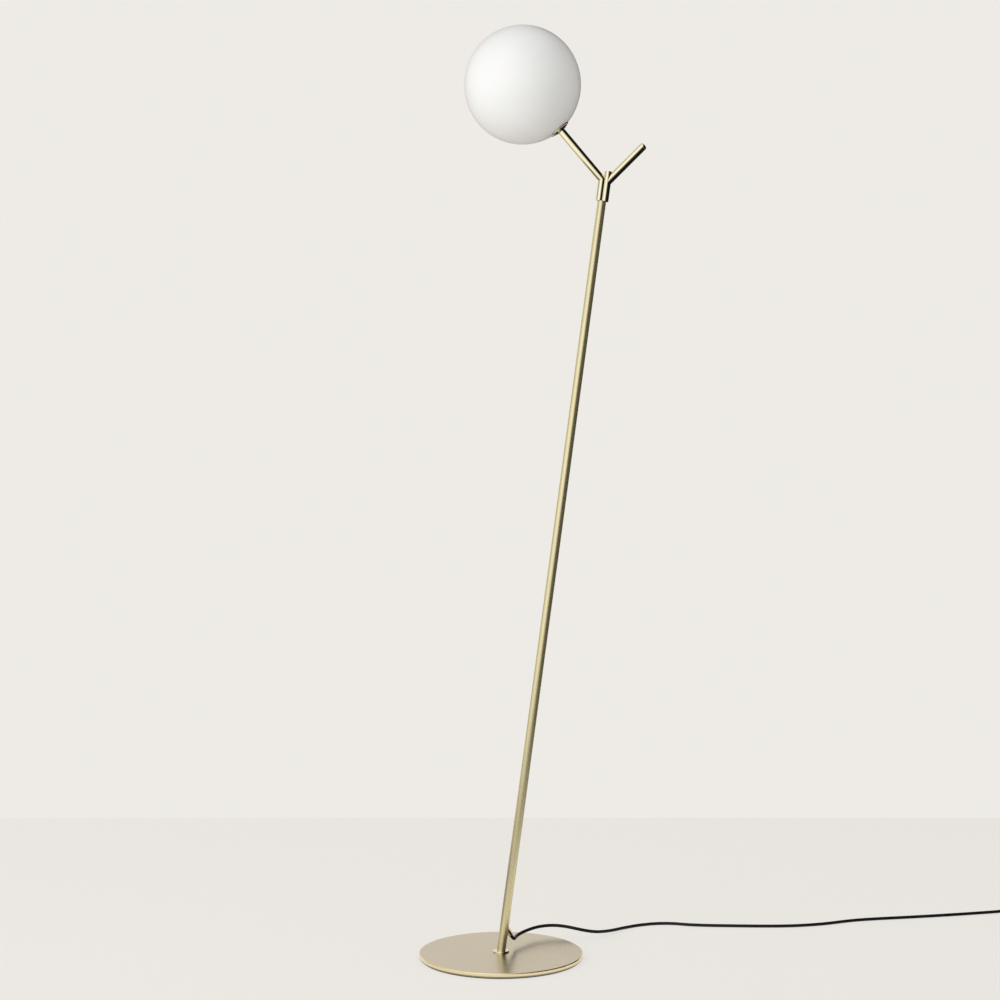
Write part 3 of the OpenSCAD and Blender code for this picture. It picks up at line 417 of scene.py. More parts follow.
def screwHead(tree, top, bottom, depth):
    return put(tree, "GeometryNodeMeshCone",
               {"Vertices": screw["headSides"], "Radius Top": top, "Radius Bottom": bottom,
                "Depth": depth})["Mesh"]


def screwTree():
    # pan head screws with a cross slot and a thread, two to a row; heads face +z
    tree, given = shapeTree("screws", {"Head Radius": 0.0023, "Head Height": 0.0016, "Shank Radius": 0.0013,
                                       "Shank Length": 0.01, "Slot Width": 0.0006, "Slot Depth": 0.0009,
                                       "Pitch": 0.0008, "Spread X": 0.02, "Spread Y": 0.01, "Count": 4})
    wide, high = given["Head Radius"], given["Head Height"]
    crown = times(tree, high, screw["crown"])
    top = screwHead(tree, times(tree, wide, screw["top"]), wide, calc(tree, "SUBTRACT", high, crown))
    head = combined(tree, "UNION", [screwHead(tree, wide, wide, crown), moved(tree, top, crown)])
    # cross slot
    across = times(tree, wide, screw["slot"])
    depth = times(tree, given["Slot Depth"], 2.0)
    bars = [put(tree, "GeometryNodeMeshCube", {"Size": vector(tree, x, y, depth)})["Mesh"]
            for x, y in ((across, given["Slot Width"]), (given["Slot Width"], across))]
    slotted = combined(tree, "DIFFERENCE", [moved(tree, combined(tree, "UNION", bars), high)], head)
    # shank with its thread
    core = calc(tree, "SUBTRACT", given["Shank Radius"], screw["ridge"])
    shank = put(tree, "GeometryNodeMeshCylinder",
                {"Vertices": screw["shankSides"], "Radius": core, "Depth": given["Shank Length"]})["Mesh"]
    length = times(tree, given["Shank Length"], screw["threaded"])
    way = spiral(tree, screw["threadSteps"], core, length, given["Pitch"])
    thread = wire(tree, way, screw["ridgeSides"], screw["ridge"])
    parts = [slotted, moved(tree, shank, times(tree, given["Shank Length"], -0.5)),
             moved(tree, thread, times(tree, length, screw["sunk"]))]
    whole = put(tree, "GeometryNodeJoinGeometry", {0: parts})[0]
    # rows of two about the middle
    index = put(tree, "GeometryNodeInputIndex")[0]
    column = calc(tree, "SUBTRACT", calc(tree, "MODULO", index, 2.0), 0.5)
    row = calc(tree, "SUBTRACT", calc(tree, "FLOOR", times(tree, index, 0.5)), 0.5)
    place = vector(tree, times(tree, column, given["Spread X"]), times(tree, row, given["Spread Y"]))
    spots = put(tree, "GeometryNodePoints", {"Count": given["Count"], "Position": place})
    return endTree(tree, given, repeated(tree, spots[0], whole), screw["smooth"])


# how finely the other trees' curves are drawn
curves = {"threadSteps": 96, "ringSteps": 64, "sides": 8, "barSides": 10}


def threadTree():
    # one coarse ridge wound round a cup's outside
    tree, given = shapeTree("cup thread", {"Radius": 0.0137, "Ridge": 0.00022, "Pitch": 0.0025, "Height": 0.01})
    way = spiral(tree, curves["threadSteps"], given["Radius"], given["Height"], given["Pitch"])
    return endTree(tree, given, wire(tree, way, curves["sides"], given["Ridge"]))


def ringTree():
    # grip rings, one inside the next
    tree, given = shapeTree("grip rings", {"Count": 4, "First": 0.003, "Step": 0.002, "Wire": 0.00035})
    spots = put(tree, "GeometryNodeMeshLine", {"Count": given["Count"], "Offset": (0, 0, 0)})
    index = put(tree, "GeometryNodeInputIndex")[0]
    size = calc(tree, "ADD", given["First"], times(tree, index, given["Step"]))
    many = repeated(tree, spots[0], circle(tree, curves["ringSteps"], 1.0), size)
    lines = put(tree, "GeometryNodeRealizeInstances", {0: many})
    even = put(tree, "GeometryNodeSetCurveRadius", {"Curve": lines[0], "Radius": 1.0})
    return endTree(tree, given, wire(tree, even[0], curves["sides"], given["Wire"], caps=False))


def gripTree():
    # a row of round bars, each a little lower than the last
    tree, given = shapeTree("grip bars", {"Count": 4, "Step": 0.003, "Slope": 0.0, "Length": 0.014, "Bar": 0.0005})
    back, front = (vector(tree, y=times(tree, given["Length"], share)) for share in (-0.5, 0.5))
    way = put(tree, "GeometryNodeCurvePrimitiveLine", {"Start": back, "End": front})
    fall = times(tree, given["Slope"], -1.0)
    step = vector(tree, x=given["Step"], z=fall)
    row = put(tree, "GeometryNodeMeshLine", {"Count": given["Count"], "Offset": step})
    return endTree(tree, given, repeated(tree, row[0], wire(tree, way[0], curves["barSides"], given["Bar"])))


print("node trees")
trees = {"screws": screwTree(), "thread": threadTree(), "rings": ringTree(), "grips": gripTree()}


# shader helpers

def spread(tree, value, low, high, start=0.0, end=1.0, smooth=False):
    # low to high becomes start to end
    return put(tree, "ShaderNodeMapRange",
               {"Value": value, "From Min": low, "From Max": high, "To Min": start, "To Max": end},
               interpolation_type="SMOOTHSTEP" if smooth else "LINEAR")[0]


def mixed(tree, share, a, b):
    # two colours, or two numbers
    number = isinstance(b, float)
    first = 2 if number else 6
    return put(tree, "ShaderNodeMix", {0: share, first: a, first + 1: b},
               data_type="FLOAT" if number else "RGBA")[0 if number else 2]


def noise(tree, where, scale, detail, roughness, distortion=0.0):
    return put(tree, "ShaderNodeTexNoise", {"Vector": where, "Scale": scale, "Detail": detail,
                                            "Roughness": roughness, "Distortion": distortion})[0]


def coordinate(tree, name="Object"):
    return put(tree, "ShaderNodeTexCoord")[name]


def parted(tree, value):
    return put(tree, "ShaderNodeSeparateXYZ", {0: value})


def distance(tree, value):
    return put(tree, "ShaderNodeVectorMath", {0: value}, operation="LENGTH")["Value"]


def shaderGroup(name, inputs, outputs):
    return newTree(name, "ShaderNodeTree", {"Vector": "NodeSocketVector", **inputs}, outputs, "NodeSocketFloat")


def addGrain():
    # fine lines of a brushed or turned finish, with broader bands under them
    tree, given = shaderGroup("grain", {"Count": 1.0}, ["Lines", "Bands"])
    broad = times(tree, given["Count"], 0.11)
    lines = noise(tree, given["Vector"], given["Count"], detail=3.0, roughness=0.6)
    bands = noise(tree, given["Vector"], broad, detail=2.0, roughness=0.5)
    put(tree, "NodeGroupOutput", {"Lines": lines, "Bands": bands})
    return tree


def addMarks():
    # faint smudges where hands and cloths have been
    tree, given = shaderGroup("handling marks", {"Size": 0.05, "Amount": 0.3}, ["Mask"])
    scale = calc(tree, "DIVIDE", 1.0, given["Size"])
    cloud = noise(tree, given["Vector"], scale, detail=4.0, roughness=0.55, distortion=0.6)
    smudges = spread(tree, cloud, low=0.46, high=0.72, end=given["Amount"], smooth=True)
    put(tree, "NodeGroupOutput", {"Mask": smudges})
    return tree


def addDust():
    # fine dust that settles on faces turned up
    tree, given = shaderGroup("settled dust", {"Amount": 0.1}, ["Mask"])
    facing = parted(tree, put(tree, "ShaderNodeNewGeometry")["Normal"])["Z"]
    upward = spread(tree, facing, low=0.3, high=1.0, end=given["Amount"])
    specks = noise(tree, given["Vector"], 420.0, detail=2.0, roughness=0.7)
    dust = times(tree, upward, spread(tree, specks, low=0.45, high=0.7))
    put(tree, "NodeGroupOutput", {"Mask": dust})
    return tree


print("shader groups")
groups = {"grain": addGrain(), "marks": addMarks(), "dust": addDust()}


def newMaterial(name):
    made = bpy.data.materials.new(name)
    made.use_nodes = True
    made.node_tree.nodes.clear()
    return made, made.node_tree


def objectPlace(tree, place, size=(1, 1, 1)):
    # object coordinates, turned to a part's own frame and divided by size
    return put(tree, "ShaderNodeMapping",
               {"Vector": coordinate(tree), "Location": place.translation, "Rotation": place.to_euler(),
                "Scale": size}, vector_type="TEXTURE")[0]


# what a look has unless it says otherwise: metal, whose lines have a size, and the rest, whose grain has a count
metal = {"dustColour": linear(198, 192, 182), "count": 1.0, "depth": 0.00002, "marks": 0.03, "dust": 0.01,
         "shader": {"Metallic": 1.0}}
moulded = {"dustColour": linear(178, 172, 162), "depth": 0.00005, "marks": 0.05, "markSize": 0.02, "dust": 0.05,
           "shader": {}}


def surface(name, look, place=Matrix.Identity(4)):
    # colour and roughness move with the grain, and handling marks and dust lie over them
    made, tree = newMaterial(name)
    shader = put(tree, "ShaderNodeBsdfPrincipled")[0].node
    put(tree, "ShaderNodeOutputMaterial", {"Surface": shader.outputs["BSDF"]})
    isMetal = "lines" in look
    look = {**(metal if isMetal else moulded), **look}
    plain = objectPlace(tree, place)
    along = objectPlace(tree, place, look["lines"]) if isMetal else plain

    def use(group, sockets):
        return put(tree, "ShaderNodeGroup", sockets, node_tree=groups[group])

    grain = use("grain", {"Vector": along, "Count": look["count"]})
    marks = use("marks", {"Vector": plain, "Size": look["markSize"], "Amount": look["marks"]})["Mask"]
    dust = use("dust", {"Vector": plain, "Amount": look["dust"]})["Mask"]
    shaded = spread(tree, grain["Bands"], low=0.3, high=0.7)
    colour = mixed(tree, shaded, look["colour"], look["shade"])
    smooth, dull = look["roughness"]
    rough = spread(tree, grain["Lines"], low=0.25, high=0.75, start=smooth, end=dull)
    for more in ([marks, dust] if isMetal else [marks]):
        rough = put(tree, "ShaderNodeMath", {0: rough, 1: more}, operation="ADD", use_clamp=True)[0]
    bump = put(tree, "ShaderNodeBump",
               {"Strength": look["bump"], "Distance": look["depth"], "Height": grain["Lines"]})
    tree.links.new(mixed(tree, dust, colour, look["dustColour"]), shader.inputs["Base Color"])
    tree.links.new(rough, shader.inputs["Roughness"])
    tree.links.new(bump[0], shader.inputs["Normal"])
    for key, value in look["shader"].items():
        shader.inputs[key].default_value = value
    if "Anisotropic" in look["shader"]:
        tangent = put(tree, "ShaderNodeTangent", direction_type="UV_MAP", uv_map="plan")
        tree.links.new(tangent[0], shader.inputs["Tangent"])
    return made


def shaderOf(made):
    tree = made.node_tree
    return tree, next(node for node in tree.nodes if node.type == "BSDF_PRINCIPLED")


def overlay(tree, shader, key, share, value):
    # mixes a value over what the socket has now
    now = shader.inputs[key].links[0].from_socket
    tree.links.new(mixed(tree, share, now, value), shader.inputs[key])


def plateMaterial(name, look):
    # brushed faces, a brighter turned rim, and painted shade: the plate's edge is darkened below about 3 mm above its
    # bottom, where the floor shades it
    made = surface(name, look)
    tree, shader = shaderOf(made)
    at = parted(tree, coordinate(tree))
    reach = distance(tree, vector(tree, at["X"], at["Y"]))
    rim = spread(tree, reach, look["rimFrom"], look["rimFrom"] + look["rimFade"])
    # painted shade: a dark colour over the lowest 3 mm of the plate's edge
    under = spread(tree, at["Z"], look["paintedShadeTo"], look["paintedShadeTo"] - look["paintedShadeFade"])
    overlay(tree, shader, "Base Color", rim, look["rimColour"])
    overlay(tree, shader, "Base Color", under, look["paintedShadeColour"])
    overlay(tree, shader, "Roughness", rim, look["rimRoughness"])
    return made


def opalMaterial(name, look, place):
    # painted shade: the opal glass is darkened where it is seen edge on, a darker rim round the globe
    made = surface(name, look, place)
    tree, shader = shaderOf(made)
    edge = put(tree, "ShaderNodeLayerWeight", {"Blend": look["paintedRimBlend"]})["Facing"]
    paintedRimShade = calc(tree, "POWER", edge, look["paintedRimPower"])
    overlay(tree, shader, "Base Color", times(tree, paintedRimShade, look["paintedRimAmount"]), look["paintedRimShadeColour"])
    return made


def pinMaterial(name, look, start):
    # plated tips, and shanks sleeved in black behind them
    made = surface(name, look)
    tree, shader = shaderOf(made)
    end = start + look["tip"]
    sleeved = spread(tree, parted(tree, coordinate(tree))["X"], end - look["fade"], end + look["fade"])
    overlay(tree, shader, "Base Color", sleeved, look["sleeveColour"])
    tree.links.new(calc(tree, "SUBTRACT", 1.0, sleeved), shader.inputs["Metallic"])
    return made


print("materials")
plateLook = {"colour": (0.60, 0.53, 0.392, 1), "shade": (0.585, 0.515, 0.377, 1), "roughness": (0.25, 0.29),
             "lines": (0.09, 0.0009, 0.02), "bump": 0.06, "depth": 0.00001, "markSize": 0.08, "dust": 0.015,
             "shader": {"Metallic": 1.0, "Anisotropic": 0.4}, "rimFrom": 0.1386, "rimFade": 0.0004,
             "rimColour": (0.93, 0.80, 0.50, 1), "rimRoughness": 0.16,
             # painted shade on the plate's lowest edge: its height, its fade and its dark colour
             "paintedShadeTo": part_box("base_plate")[0].z + 0.0030, "paintedShadeFade": 0.0006,
             "paintedShadeColour": (0.30, 0.27, 0.20, 1)}
poleLook = {"colour": (0.80, 0.70, 0.41, 1), "shade": (0.785, 0.685, 0.395, 1), "roughness": (0.25, 0.28),
            "lines": (0.02, 0.02, 0.0006), "bump": 0.02, "markSize": 0.05, "shader": {"Metallic": 0.86}}
polishLook = {"colour": (0.88, 0.80, 0.53, 1), "shade": (0.87, 0.785, 0.51, 1), "roughness": (0.05, 0.09),
              "lines": (0.012, 0.012, 0.0012), "bump": 0.05, "markSize": 0.018}
steelLook = {"colour": (0.56, 0.57, 0.58, 1), "shade": (0.48, 0.49, 0.51, 1), "roughness": (0.28, 0.42),
             "lines": (0.004, 0.004, 0.0005), "bump": 0.3, "marks": 0.08, "markSize": 0.01, "dust": 0.02}
pinLook = {"colour": (0.74, 0.72, 0.68, 1), "shade": (0.68, 0.66, 0.62, 1), "roughness": (0.16, 0.26),
           "lines": (0.004, 0.004, 0.0005), "bump": 0.15, "marks": 0.05, "markSize": 0.008,
           "tip": 0.010, "fade": 0.0001, "sleeveColour": linear(22, 21, 20)}
leadLook = {"colour": linear(9, 8, 8), "shade": linear(13, 12, 11), "roughness": (0.46, 0.58),
            "count": 900.0, "bump": 0.12, "dust": 0.02, "shader": {"Specular IOR Level": 0.3}}
rubberLook = {"colour": linear(18, 17, 16), "shade": linear(25, 24, 22), "roughness": (0.60, 0.75),
              "count": 1400.0, "bump": 0.3, "marks": 0.06}
plasticLook = {"colour": linear(24, 23, 22), "shade": linear(30, 29, 27), "roughness": (0.34, 0.50),
               "count": 1800.0, "bump": 0.22, "marks": 0.08}
foamLook = {"colour": linear(46, 44, 42), "shade": linear(62, 60, 57), "roughness": (0.85, 0.98),
            "count": 1100.0, "bump": 0.8, "depth": 0.0002, "dust": 0.0}
siliconeLook = {"colour": linear(216, 214, 208), "shade": linear(206, 203, 196), "roughness": (0.42, 0.58),
                "count": 900.0, "bump": 0.12, "marks": 0.04, "dust": 0.02,
                "shader": {"Subsurface Weight": 0.3, "Subsurface Scale": 0.002}}
opalLook = {"colour": (0.915, 0.915, 0.91, 1), "shade": (0.905, 0.905, 0.90, 1), "roughness": (0.40, 0.48),
            "count": 240.0, "bump": 0.03, "marks": 0.03, "markSize": 0.06, "dust": 0.0,
            # painted shade: a darker colour at the globe's rim where it is seen edge on
            "paintedRimBlend": 0.5, "paintedRimPower": 3.0, "paintedRimAmount": 0.8, "paintedRimShadeColour": linear(190, 187, 182),
            "shader": {"IOR": 1.5, "Subsurface Weight": 0.15, "Subsurface Scale": 0.004}}
ceramicLook = {"colour": linear(226, 221, 210), "shade": linear(214, 208, 196), "roughness": (0.30, 0.46),
               "count": 700.0, "bump": 0.15, "dust": 0.03}
bulbLook = {"colour": (0.88, 0.88, 0.87, 1), "shade": (0.85, 0.85, 0.84, 1), "roughness": (0.28, 0.36),
            "count": 400.0, "bump": 0.04, "marks": 0.03, "dust": 0.0,
            "shader": {"Subsurface Weight": 0.15, "Subsurface Scale": 0.003}}

finishes = {
    "plate": plateMaterial("champagne plate", plateLook),
    "pole": surface("satin pole brass", poleLook, onPole),
    "ring": surface("polished foot brass", polishLook),
    "outlet": surface("polished outlet brass", polishLook, onOutlet),
    "head": surface("polished head brass", polishLook, onHead),
    "arm": surface("polished arm brass", polishLook, onArm),
    "stub": surface("polished stub brass", polishLook, onStub),
    "steel": surface("zinc steel", steelLook, onPole),
    "armSteel": surface("turned steel", steelLook, onArm),
    "pins": surface("plated pins", pinLook),
    "plugPins": pinMaterial("sleeved plug pins", pinLook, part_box("plug_pins")[0].x),
    "lead": surface("black lead sheath", leadLook),
    "rubber": surface("black rubber", rubberLook),
    "silicone": surface("milky silicone", siliconeLook, onArm),
    "plastic": surface("black moulded plastic", plasticLook),
    "foam": surface("pad foam", foamLook),
    "opal": opalMaterial("opal glass", opalLook, onArm),
    "ceramic": surface("glazed ceramic", ceramicLook, onArm),
    "bulb": surface("opal bulb glass", bulbLook, onArm),
}


def stand(made, body, slot, key, *replaced):
    made.data.materials.clear()
    made.data.materials.append(finishes[key])
    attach(made, body)
    if replaced:
        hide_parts(*replaced)


def standSoft(body, slot, key, *rows):
    for node, name, width in rows:
        stand(soften(node, name, width), body, slot, key, node)


def grow(name, tree, values, place, body, slot, key, *replaced):
    # the tree's result as a plain mesh in its place
    made = addObject(name, bpy.data.meshes.new(name))
    modifier = made.modifiers.new("tree", "NODES")
    modifier.node_group = trees[tree]
    given = {**values, "Finish": finishes[key]}
    for item in trees[tree].interface.items_tree:
        if item.in_out == "INPUT" and item.name in given:
            modifier[item.identifier] = given[item.name]
    bake(made)
    made.data.transform(place)
    stand(made, body, slot, key, *replaced)


print("base and pole")
plateEdge = {"ease": 0.0004, "segments": 3, "drawn": 0.0035, "round": 0.0016, "slack": 0.00001}


def tightenEdge(made):
    # the plate's upper edge, pulled out to a smaller round
    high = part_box("base_plate")[1]
    drawn, small, slack = plateEdge["drawn"], plateEdge["round"], plateEdge["slack"]
    start, level = high.x - drawn, high.z - drawn
    for vertex in made.data.vertices:
        at = vertex.co
        reach = math.hypot(at.x, at.y)
        if reach < start - slack or at.z < level - slack:
            continue
        new = high.x - small + small * (reach - start) / drawn
        at.x, at.y = at.x * new / reach, at.y * new / reach
        at.z = high.z - small + small * (at.z - level) / drawn
    made.data.update()
    return shade(made)


def planUv(made):
    # the plate seen from above, for the direction of its brushing
    layer = made.data.uv_layers.new(name="plan")
    for loop in made.data.loops:
        at = made.data.vertices[loop.vertex_index].co
        layer.data[loop.index].uv = (at.x, at.y)
    return made


basePlate = soften("base_plate", "basePlate", plateEdge["ease"], plateEdge["segments"])
stand(planUv(tightenEdge(basePlate)), "stand", "satin_brass", "plate", "base_plate")

footRing = {"outer": 0.014, "inner": 0.0072, "height": 0.0024, "foot": 0.0002, "round": 0.0016, "sides": 120}


def addFootRing():
    # a polished collar with a well rounded shoulder
    inner, outer, height = footRing["inner"], footRing["outer"], footRing["height"]
    line = roundedProfile([(inner, 0, 0), (outer, 0, footRing["foot"]), (outer, height, footRing["round"]),
                           (inner, height, 0)], steps=6)
    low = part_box("foot_ring")[0]
    return shade(lathe("footRing", line, shift(0, 0, low.z), footRing["sides"]))


stand(addFootRing(), "stand", "bright_brass", "ring", "foot_ring")
standSoft("stand", "bright_brass", "outlet", ("cable_outlet", "cableOutlet", 0.0003))
standSoft("stand", "pole_brass", "pole", ("pole_tube", "poleTube", 0.0002))

# the lead's strain relief: a tapered sleeve with two grooves in its nose
sleeve = {"start": 0.0092, "mouth": 0.025, "tip": 0.0292, "root": 0.00358, "nose": 0.00325, "bore": 0.0029,
          "grooves": (0.0262, 0.0277), "wide": 0.0004, "deep": 0.00025, "edge": 0.0002, "fine": 0.0001,
          "sides": 48}


def addSleeve():
    def outside(at):
        share = (at - sleeve["mouth"]) / (sleeve["tip"] - sleeve["mouth"])
        return sleeve["root"] + (sleeve["nose"] - sleeve["root"]) * share

    wide, deep, fine = sleeve["wide"], sleeve["deep"], sleeve["fine"]
    corners = [(sleeve["bore"], sleeve["start"], 0), (sleeve["root"], sleeve["start"], sleeve["edge"]),
               (sleeve["root"], sleeve["mouth"], 0)]
    for at in sleeve["grooves"]:
        near, far = at - wide / 2, at + wide / 2
        corners += [(outside(near), near, fine), (outside(at) - deep, at - wide / 4, fine / 2),
                    (outside(at) - deep, at + wide / 4, fine / 2), (outside(far), far, fine)]
    corners += [(sleeve["nose"], sleeve["tip"], sleeve["edge"]), (sleeve["bore"], sleeve["tip"], fine)]
    return shade(lathe("leadSleeve", roundedProfile(corners, steps=3), onOutlet, sleeve["sides"]), sharpAngle=50)


stand(addSleeve(), "stand", "black_rubber", "rubber", "strain_relief")

print("head and arms")
standSoft("head", "bright_brass", "head", ("head_block", "headBlock", 0.00025), ("head_cap", "headCap", 0.00025))
standSoft("head", "bright_brass", "arm", ("arm_tube", "armTube", 0.0002))
standSoft("head", "bright_brass", "stub", ("stub_tube", "stubTube", 0.00015), ("stub_cap", "stubCap", 0.00015))

# a shallow spun bowl: flat seat for the carrier inside, and its lip stands just off the glass
dish = {"bore": 0.0051, "hub": 0.0072, "lip": 0.01865, "low": 0.10840, "depth": 0.0036, "bow": 1.25, "steps": 12,
        "seat": 0.110424, "seatEdge": 0.0140, "seatRound": 0.0006, "lipTop": 0.1125, "lipRound": 0.0004,
        "lipInside": 0.0003, "wall": 0.0008, "sides": 144}


def addDish():
    lip, top, low = dish["lip"], dish["lipTop"], dish["low"]
    line = [Vector((dish["bore"], low)), Vector((dish["hub"], low))]
    for k in range(1, dish["steps"] + 1):
        t = k / dish["steps"]
        line.append(Vector((dish["hub"] + (lip - dish["hub"]) * t, low + dish["depth"] * t ** dish["bow"])))
    line += roundedProfile([(lip, top - dish["lipRound"], 0), (lip, top, dish["lipRound"]),
                            (lip - dish["wall"], top, dish["lipInside"]),
                            (dish["seatEdge"], dish["seat"], dish["seatRound"]), (dish["bore"], dish["seat"], 0)])
    return shade(lathe("globeDish", line, onArm, dish["sides"]), sharpAngle=40)


stand(addDish(), "head", "bright_brass", "arm", "globe_dish")

print("globe")
globe = {"radius": 0.100, "wall": 0.0025, "bore": 0.014, "neckWall": 0.0025, "neckTop": -0.09895,
         "neckLength": 0.015, "edge": 0.0009, "rimEdge": 0.00072, "inset": 0.001, "sides": 192, "steps": 96}


def sphereEnd(radius, opening):
    # the angle from the top at which a sphere meets the opening at its foot
    return math.acos(-math.sqrt(1 - (opening / radius) ** 2))


def globeLine():
    radius, inner, steps = globe["radius"], globe["radius"] - globe["wall"], globe["steps"]
    bore, neck = globe["bore"], globe["bore"] + globe["neckWall"]
    first = sphereEnd(radius, bore + globe["edge"])
    line = [Vector((radius * math.sin(first * k / steps), radius * math.cos(first * k / steps)))
            for k in range(steps + 1)]
    rim = -radius + globe["neckLength"]
    line += roundedProfile([(bore, globe["neckTop"], globe["edge"]), (bore, rim, globe["rimEdge"]),
                            (neck, rim, globe["rimEdge"])])
    last = sphereEnd(inner, neck + globe["inset"])
    line += [Vector((inner * math.sin(last * (1 - k / steps)), inner * math.cos(last * (1 - k / steps))))
             for k in range(steps + 1)]
    return line


opalGlobe = lathe("opalGlobe", globeLine(), onArm @ shift(0, 0, layout["armReach"]), globe["sides"], closed=False)
stand(shade(opalGlobe, sharpAngle=50), "globe", "opal_glass", "opal", "globe_glass")

print("holder and bulb")
# CAD nodes that keep their mesh and only take a finish
kept = {"armSteel": ("glass_carrier", "carrier_nut", "holder_bracket", "arm_nipple"), "arm": ("arm_insert",),
        "silicone": ("globe_gasket",), "ceramic": ("lampholder", "bulb_base", "switch_block"),
        "pins": ("bulb_pins",), "bulb": ("bulb_capsule",), "lead": ("arm_lead", "inner_lead"),
        "head": ("pivot_tube", "swivel_bush"), "plastic": ("swivel_washer",),
        "steel": ("wave_washer", "retaining_ring", "foot_plug", "foot_washer", "foot_screw"),
        "foam": ("base_pad",), "plugPins": ("plug_pins",)}
for key, names in kept.items():
    for name in names:
        for slot in nodes[name].material_slots:
            slot.link = "OBJECT"
            slot.material = finishes[key]

holder = {"Head Radius": 0.0023, "Head Height": 0.00125, "Shank Radius": 0.00125, "Shank Length": 0.007,
          "Slot Width": 0.0006, "Slot Depth": 0.0007, "Pitch": 0.0007, "Spread X": 0.0176, "Spread Y": 0.0,
          "Count": 2}
flangeTop = 0.126424
grow("holderScrews", "screws", holder, onArm @ shift(0, 0, flangeTop), "head", "steel", "armSteel", "holder_screws")

# the coarse thread that the glass neck screws on
carrier = {"Radius": 0.0137, "Ridge": 0.00021, "Pitch": 0.0025, "Height": 0.0102}
threadFrom = 0.1126
grow("carrierThread", "thread", carrier, onArm @ shift(0, 0, threadFrom), "head", "steel", "armSteel")

print("switch and plug")
standSoft("stand", "black_plastic", "plastic", ("switch_base", "switchBase", 0.0003),
          ("switch_cover", "switchCover", 0.0003))
standSoft("button", "black_plastic", "plastic", ("switch_button", "switchButton", 0.0003))
standSoft("stand", "black_plastic", "plastic", ("plug_body", "plugBody", 0.0004))
standSoft("stand", "black_rubber", "rubber", ("coil_tie", "coilTie", 0.00015))

screwLow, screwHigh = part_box("switch_screws")
screwMiddle = (screwLow + screwHigh) / 2
footSwitch = {"Head Radius": 0.0023, "Head Height": 0.0016, "Shank Radius": 0.0013, "Slot Width": 0.0007,
              "Slot Depth": 0.0009, "Pitch": 0.0009, "Count": 4}
shankTop = 0.015
headBase = screwLow.z + footSwitch["Head Height"]
footSwitch["Shank Length"] = shankTop - headBase
footSwitch["Spread X"] = screwHigh.x - screwLow.x - 2 * footSwitch["Head Radius"]
footSwitch["Spread Y"] = screwHigh.y - screwLow.y - 2 * footSwitch["Head Radius"]
grow("switchScrews", "screws", footSwitch, shift(screwMiddle.x, screwMiddle.y, headBase) @ turn(180, "X"),
     "stand", "steel", "steel", "switch_screws")

buttonLow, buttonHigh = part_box("switch_button")
buttonMiddle = (buttonLow + buttonHigh) / 2
grow("buttonRings", "rings", {"Count": 4, "First": 0.003, "Step": 0.002, "Wire": 0.00035},
     shift(buttonMiddle.x, buttonMiddle.y, buttonHigh.z), "button", "black_plastic", "plastic")

plugLow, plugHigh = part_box("plug_body")
gripFrom, gripSink = 0.010, 0.0002
grow("plugGrips", "grips", {"Count": 4, "Step": 0.003, "Slope": 0.00015, "Length": 0.014, "Bar": 0.0005},
     shift(plugLow.x + gripFrom, (plugLow.y + plugHigh.y) / 2, plugHigh.z - gripSink),
     "stand", "black_plastic", "plastic")

stand(mainsLead, "stand", "black_rubber", "lead", "cord_run", "cord_link", "cord_coil", "cord_tail")

# floor and wall
room = {"colour": linear(238, 235, 230), "wallAt": 1.32, "wallFoot": -0.01, "floorAt": -0.0003, "half": 7.0,
        "height": 6.0, "shadow": 0.22}

# the cards are painted reflections that only show in the metal: a dark one at the right and behind, a soft bright one
# at the left, and a painted reflection of the floor, darker and lighter by direction and distance; a side has its x,
# y and z and its (y, level) stops, and a floor part its bearings and its (distance, level) stops
cards = {"sides": [("right", 1.25, (-3.2, 1.3), (0, 3.4), [(-3.2, 0.16), (-1.8, 0.010)]),
                   ("left", -1.6, (-3.2, 1.3), (0.22, 1.85),
                    [(-3.2, 1.25), (-2.2, 1.20), (-1.2, 1.08), (-0.5, 0.92), (0.1, 0.70), (0.7, 0.46), (1.3, 0.28)])],
         "behindX": (0.18, 0.45, 1.25), "behindY": 1.30, "behindZ": (0.45, 1.0, 3.4),
         "behind": [(0.0, 0.02), (2.0, 0.02)],
         "poolFrom": 0.30, "poolTo": 6.5, "poolStep": 7.5, "poolAt": 0.0001, "poolParts": [
             ("front left", -75, -30, [(0.0, 0.85), (0.45, 0.85), (1.1, 0.30), (3.0, 0.24), (6.6, 0.40)]),
             ("front", -30, 15, [(0.0, 0.80), (0.40, 0.80), (1.10, 0.30), (3.0, 0.34), (4.2, 0.55), (6.6, 1.0)]),
             ("right", 15, 180, [(0.0, 0.80), (0.40, 0.80), (1.10, 0.24), (3.0, 0.30), (4.2, 0.50), (6.6, 1.0)]),
             ("left", 180, 285, [(0.0, 0.40), (0.45, 0.30), (0.8, 0.16), (3.0, 0.12), (6.6, 0.12)])]}


def addStage(name, corners, paint, faces=None):
    # one face through all corners, unless faces are given
    mesh = bpy.data.meshes.new(name)
    mesh.from_pydata(corners, [], faces or [tuple(range(len(corners)))])
    mesh.materials.append(paint)
    made = addObject(name, mesh)
    return made


def stageMaterial(name):
    made, tree = newMaterial(name)
    made.cycles.emission_sampling = "NONE"
    return made, tree


def glow(tree, kind, colour, strength=1.0):
    return put(tree, kind, {"Color": colour, "Strength": strength})[0]


def eitherShader(tree, share, a, b):
    return put(tree, "ShaderNodeMixShader", {0: share, 1: a, 2: b})[0]


def rampOf(tree, value, stops):
    # stops are (value, level or colour)
    first, last = stops[0][0], stops[-1][0]
    ramp = put(tree, "ShaderNodeValToRGB", {0: spread(tree, value, first, last)})[0]
    marks = ramp.node.color_ramp.elements
    for i, (at, level) in enumerate(stops):
        mark = marks[0] if i == 0 else marks[-1]
        if 0 < i < len(stops) - 1:
            mark = marks.new((at - first) / (last - first))
        mark.color = (*level, 1) if isinstance(level, tuple) else (level, level, level, 1)
    return ramp


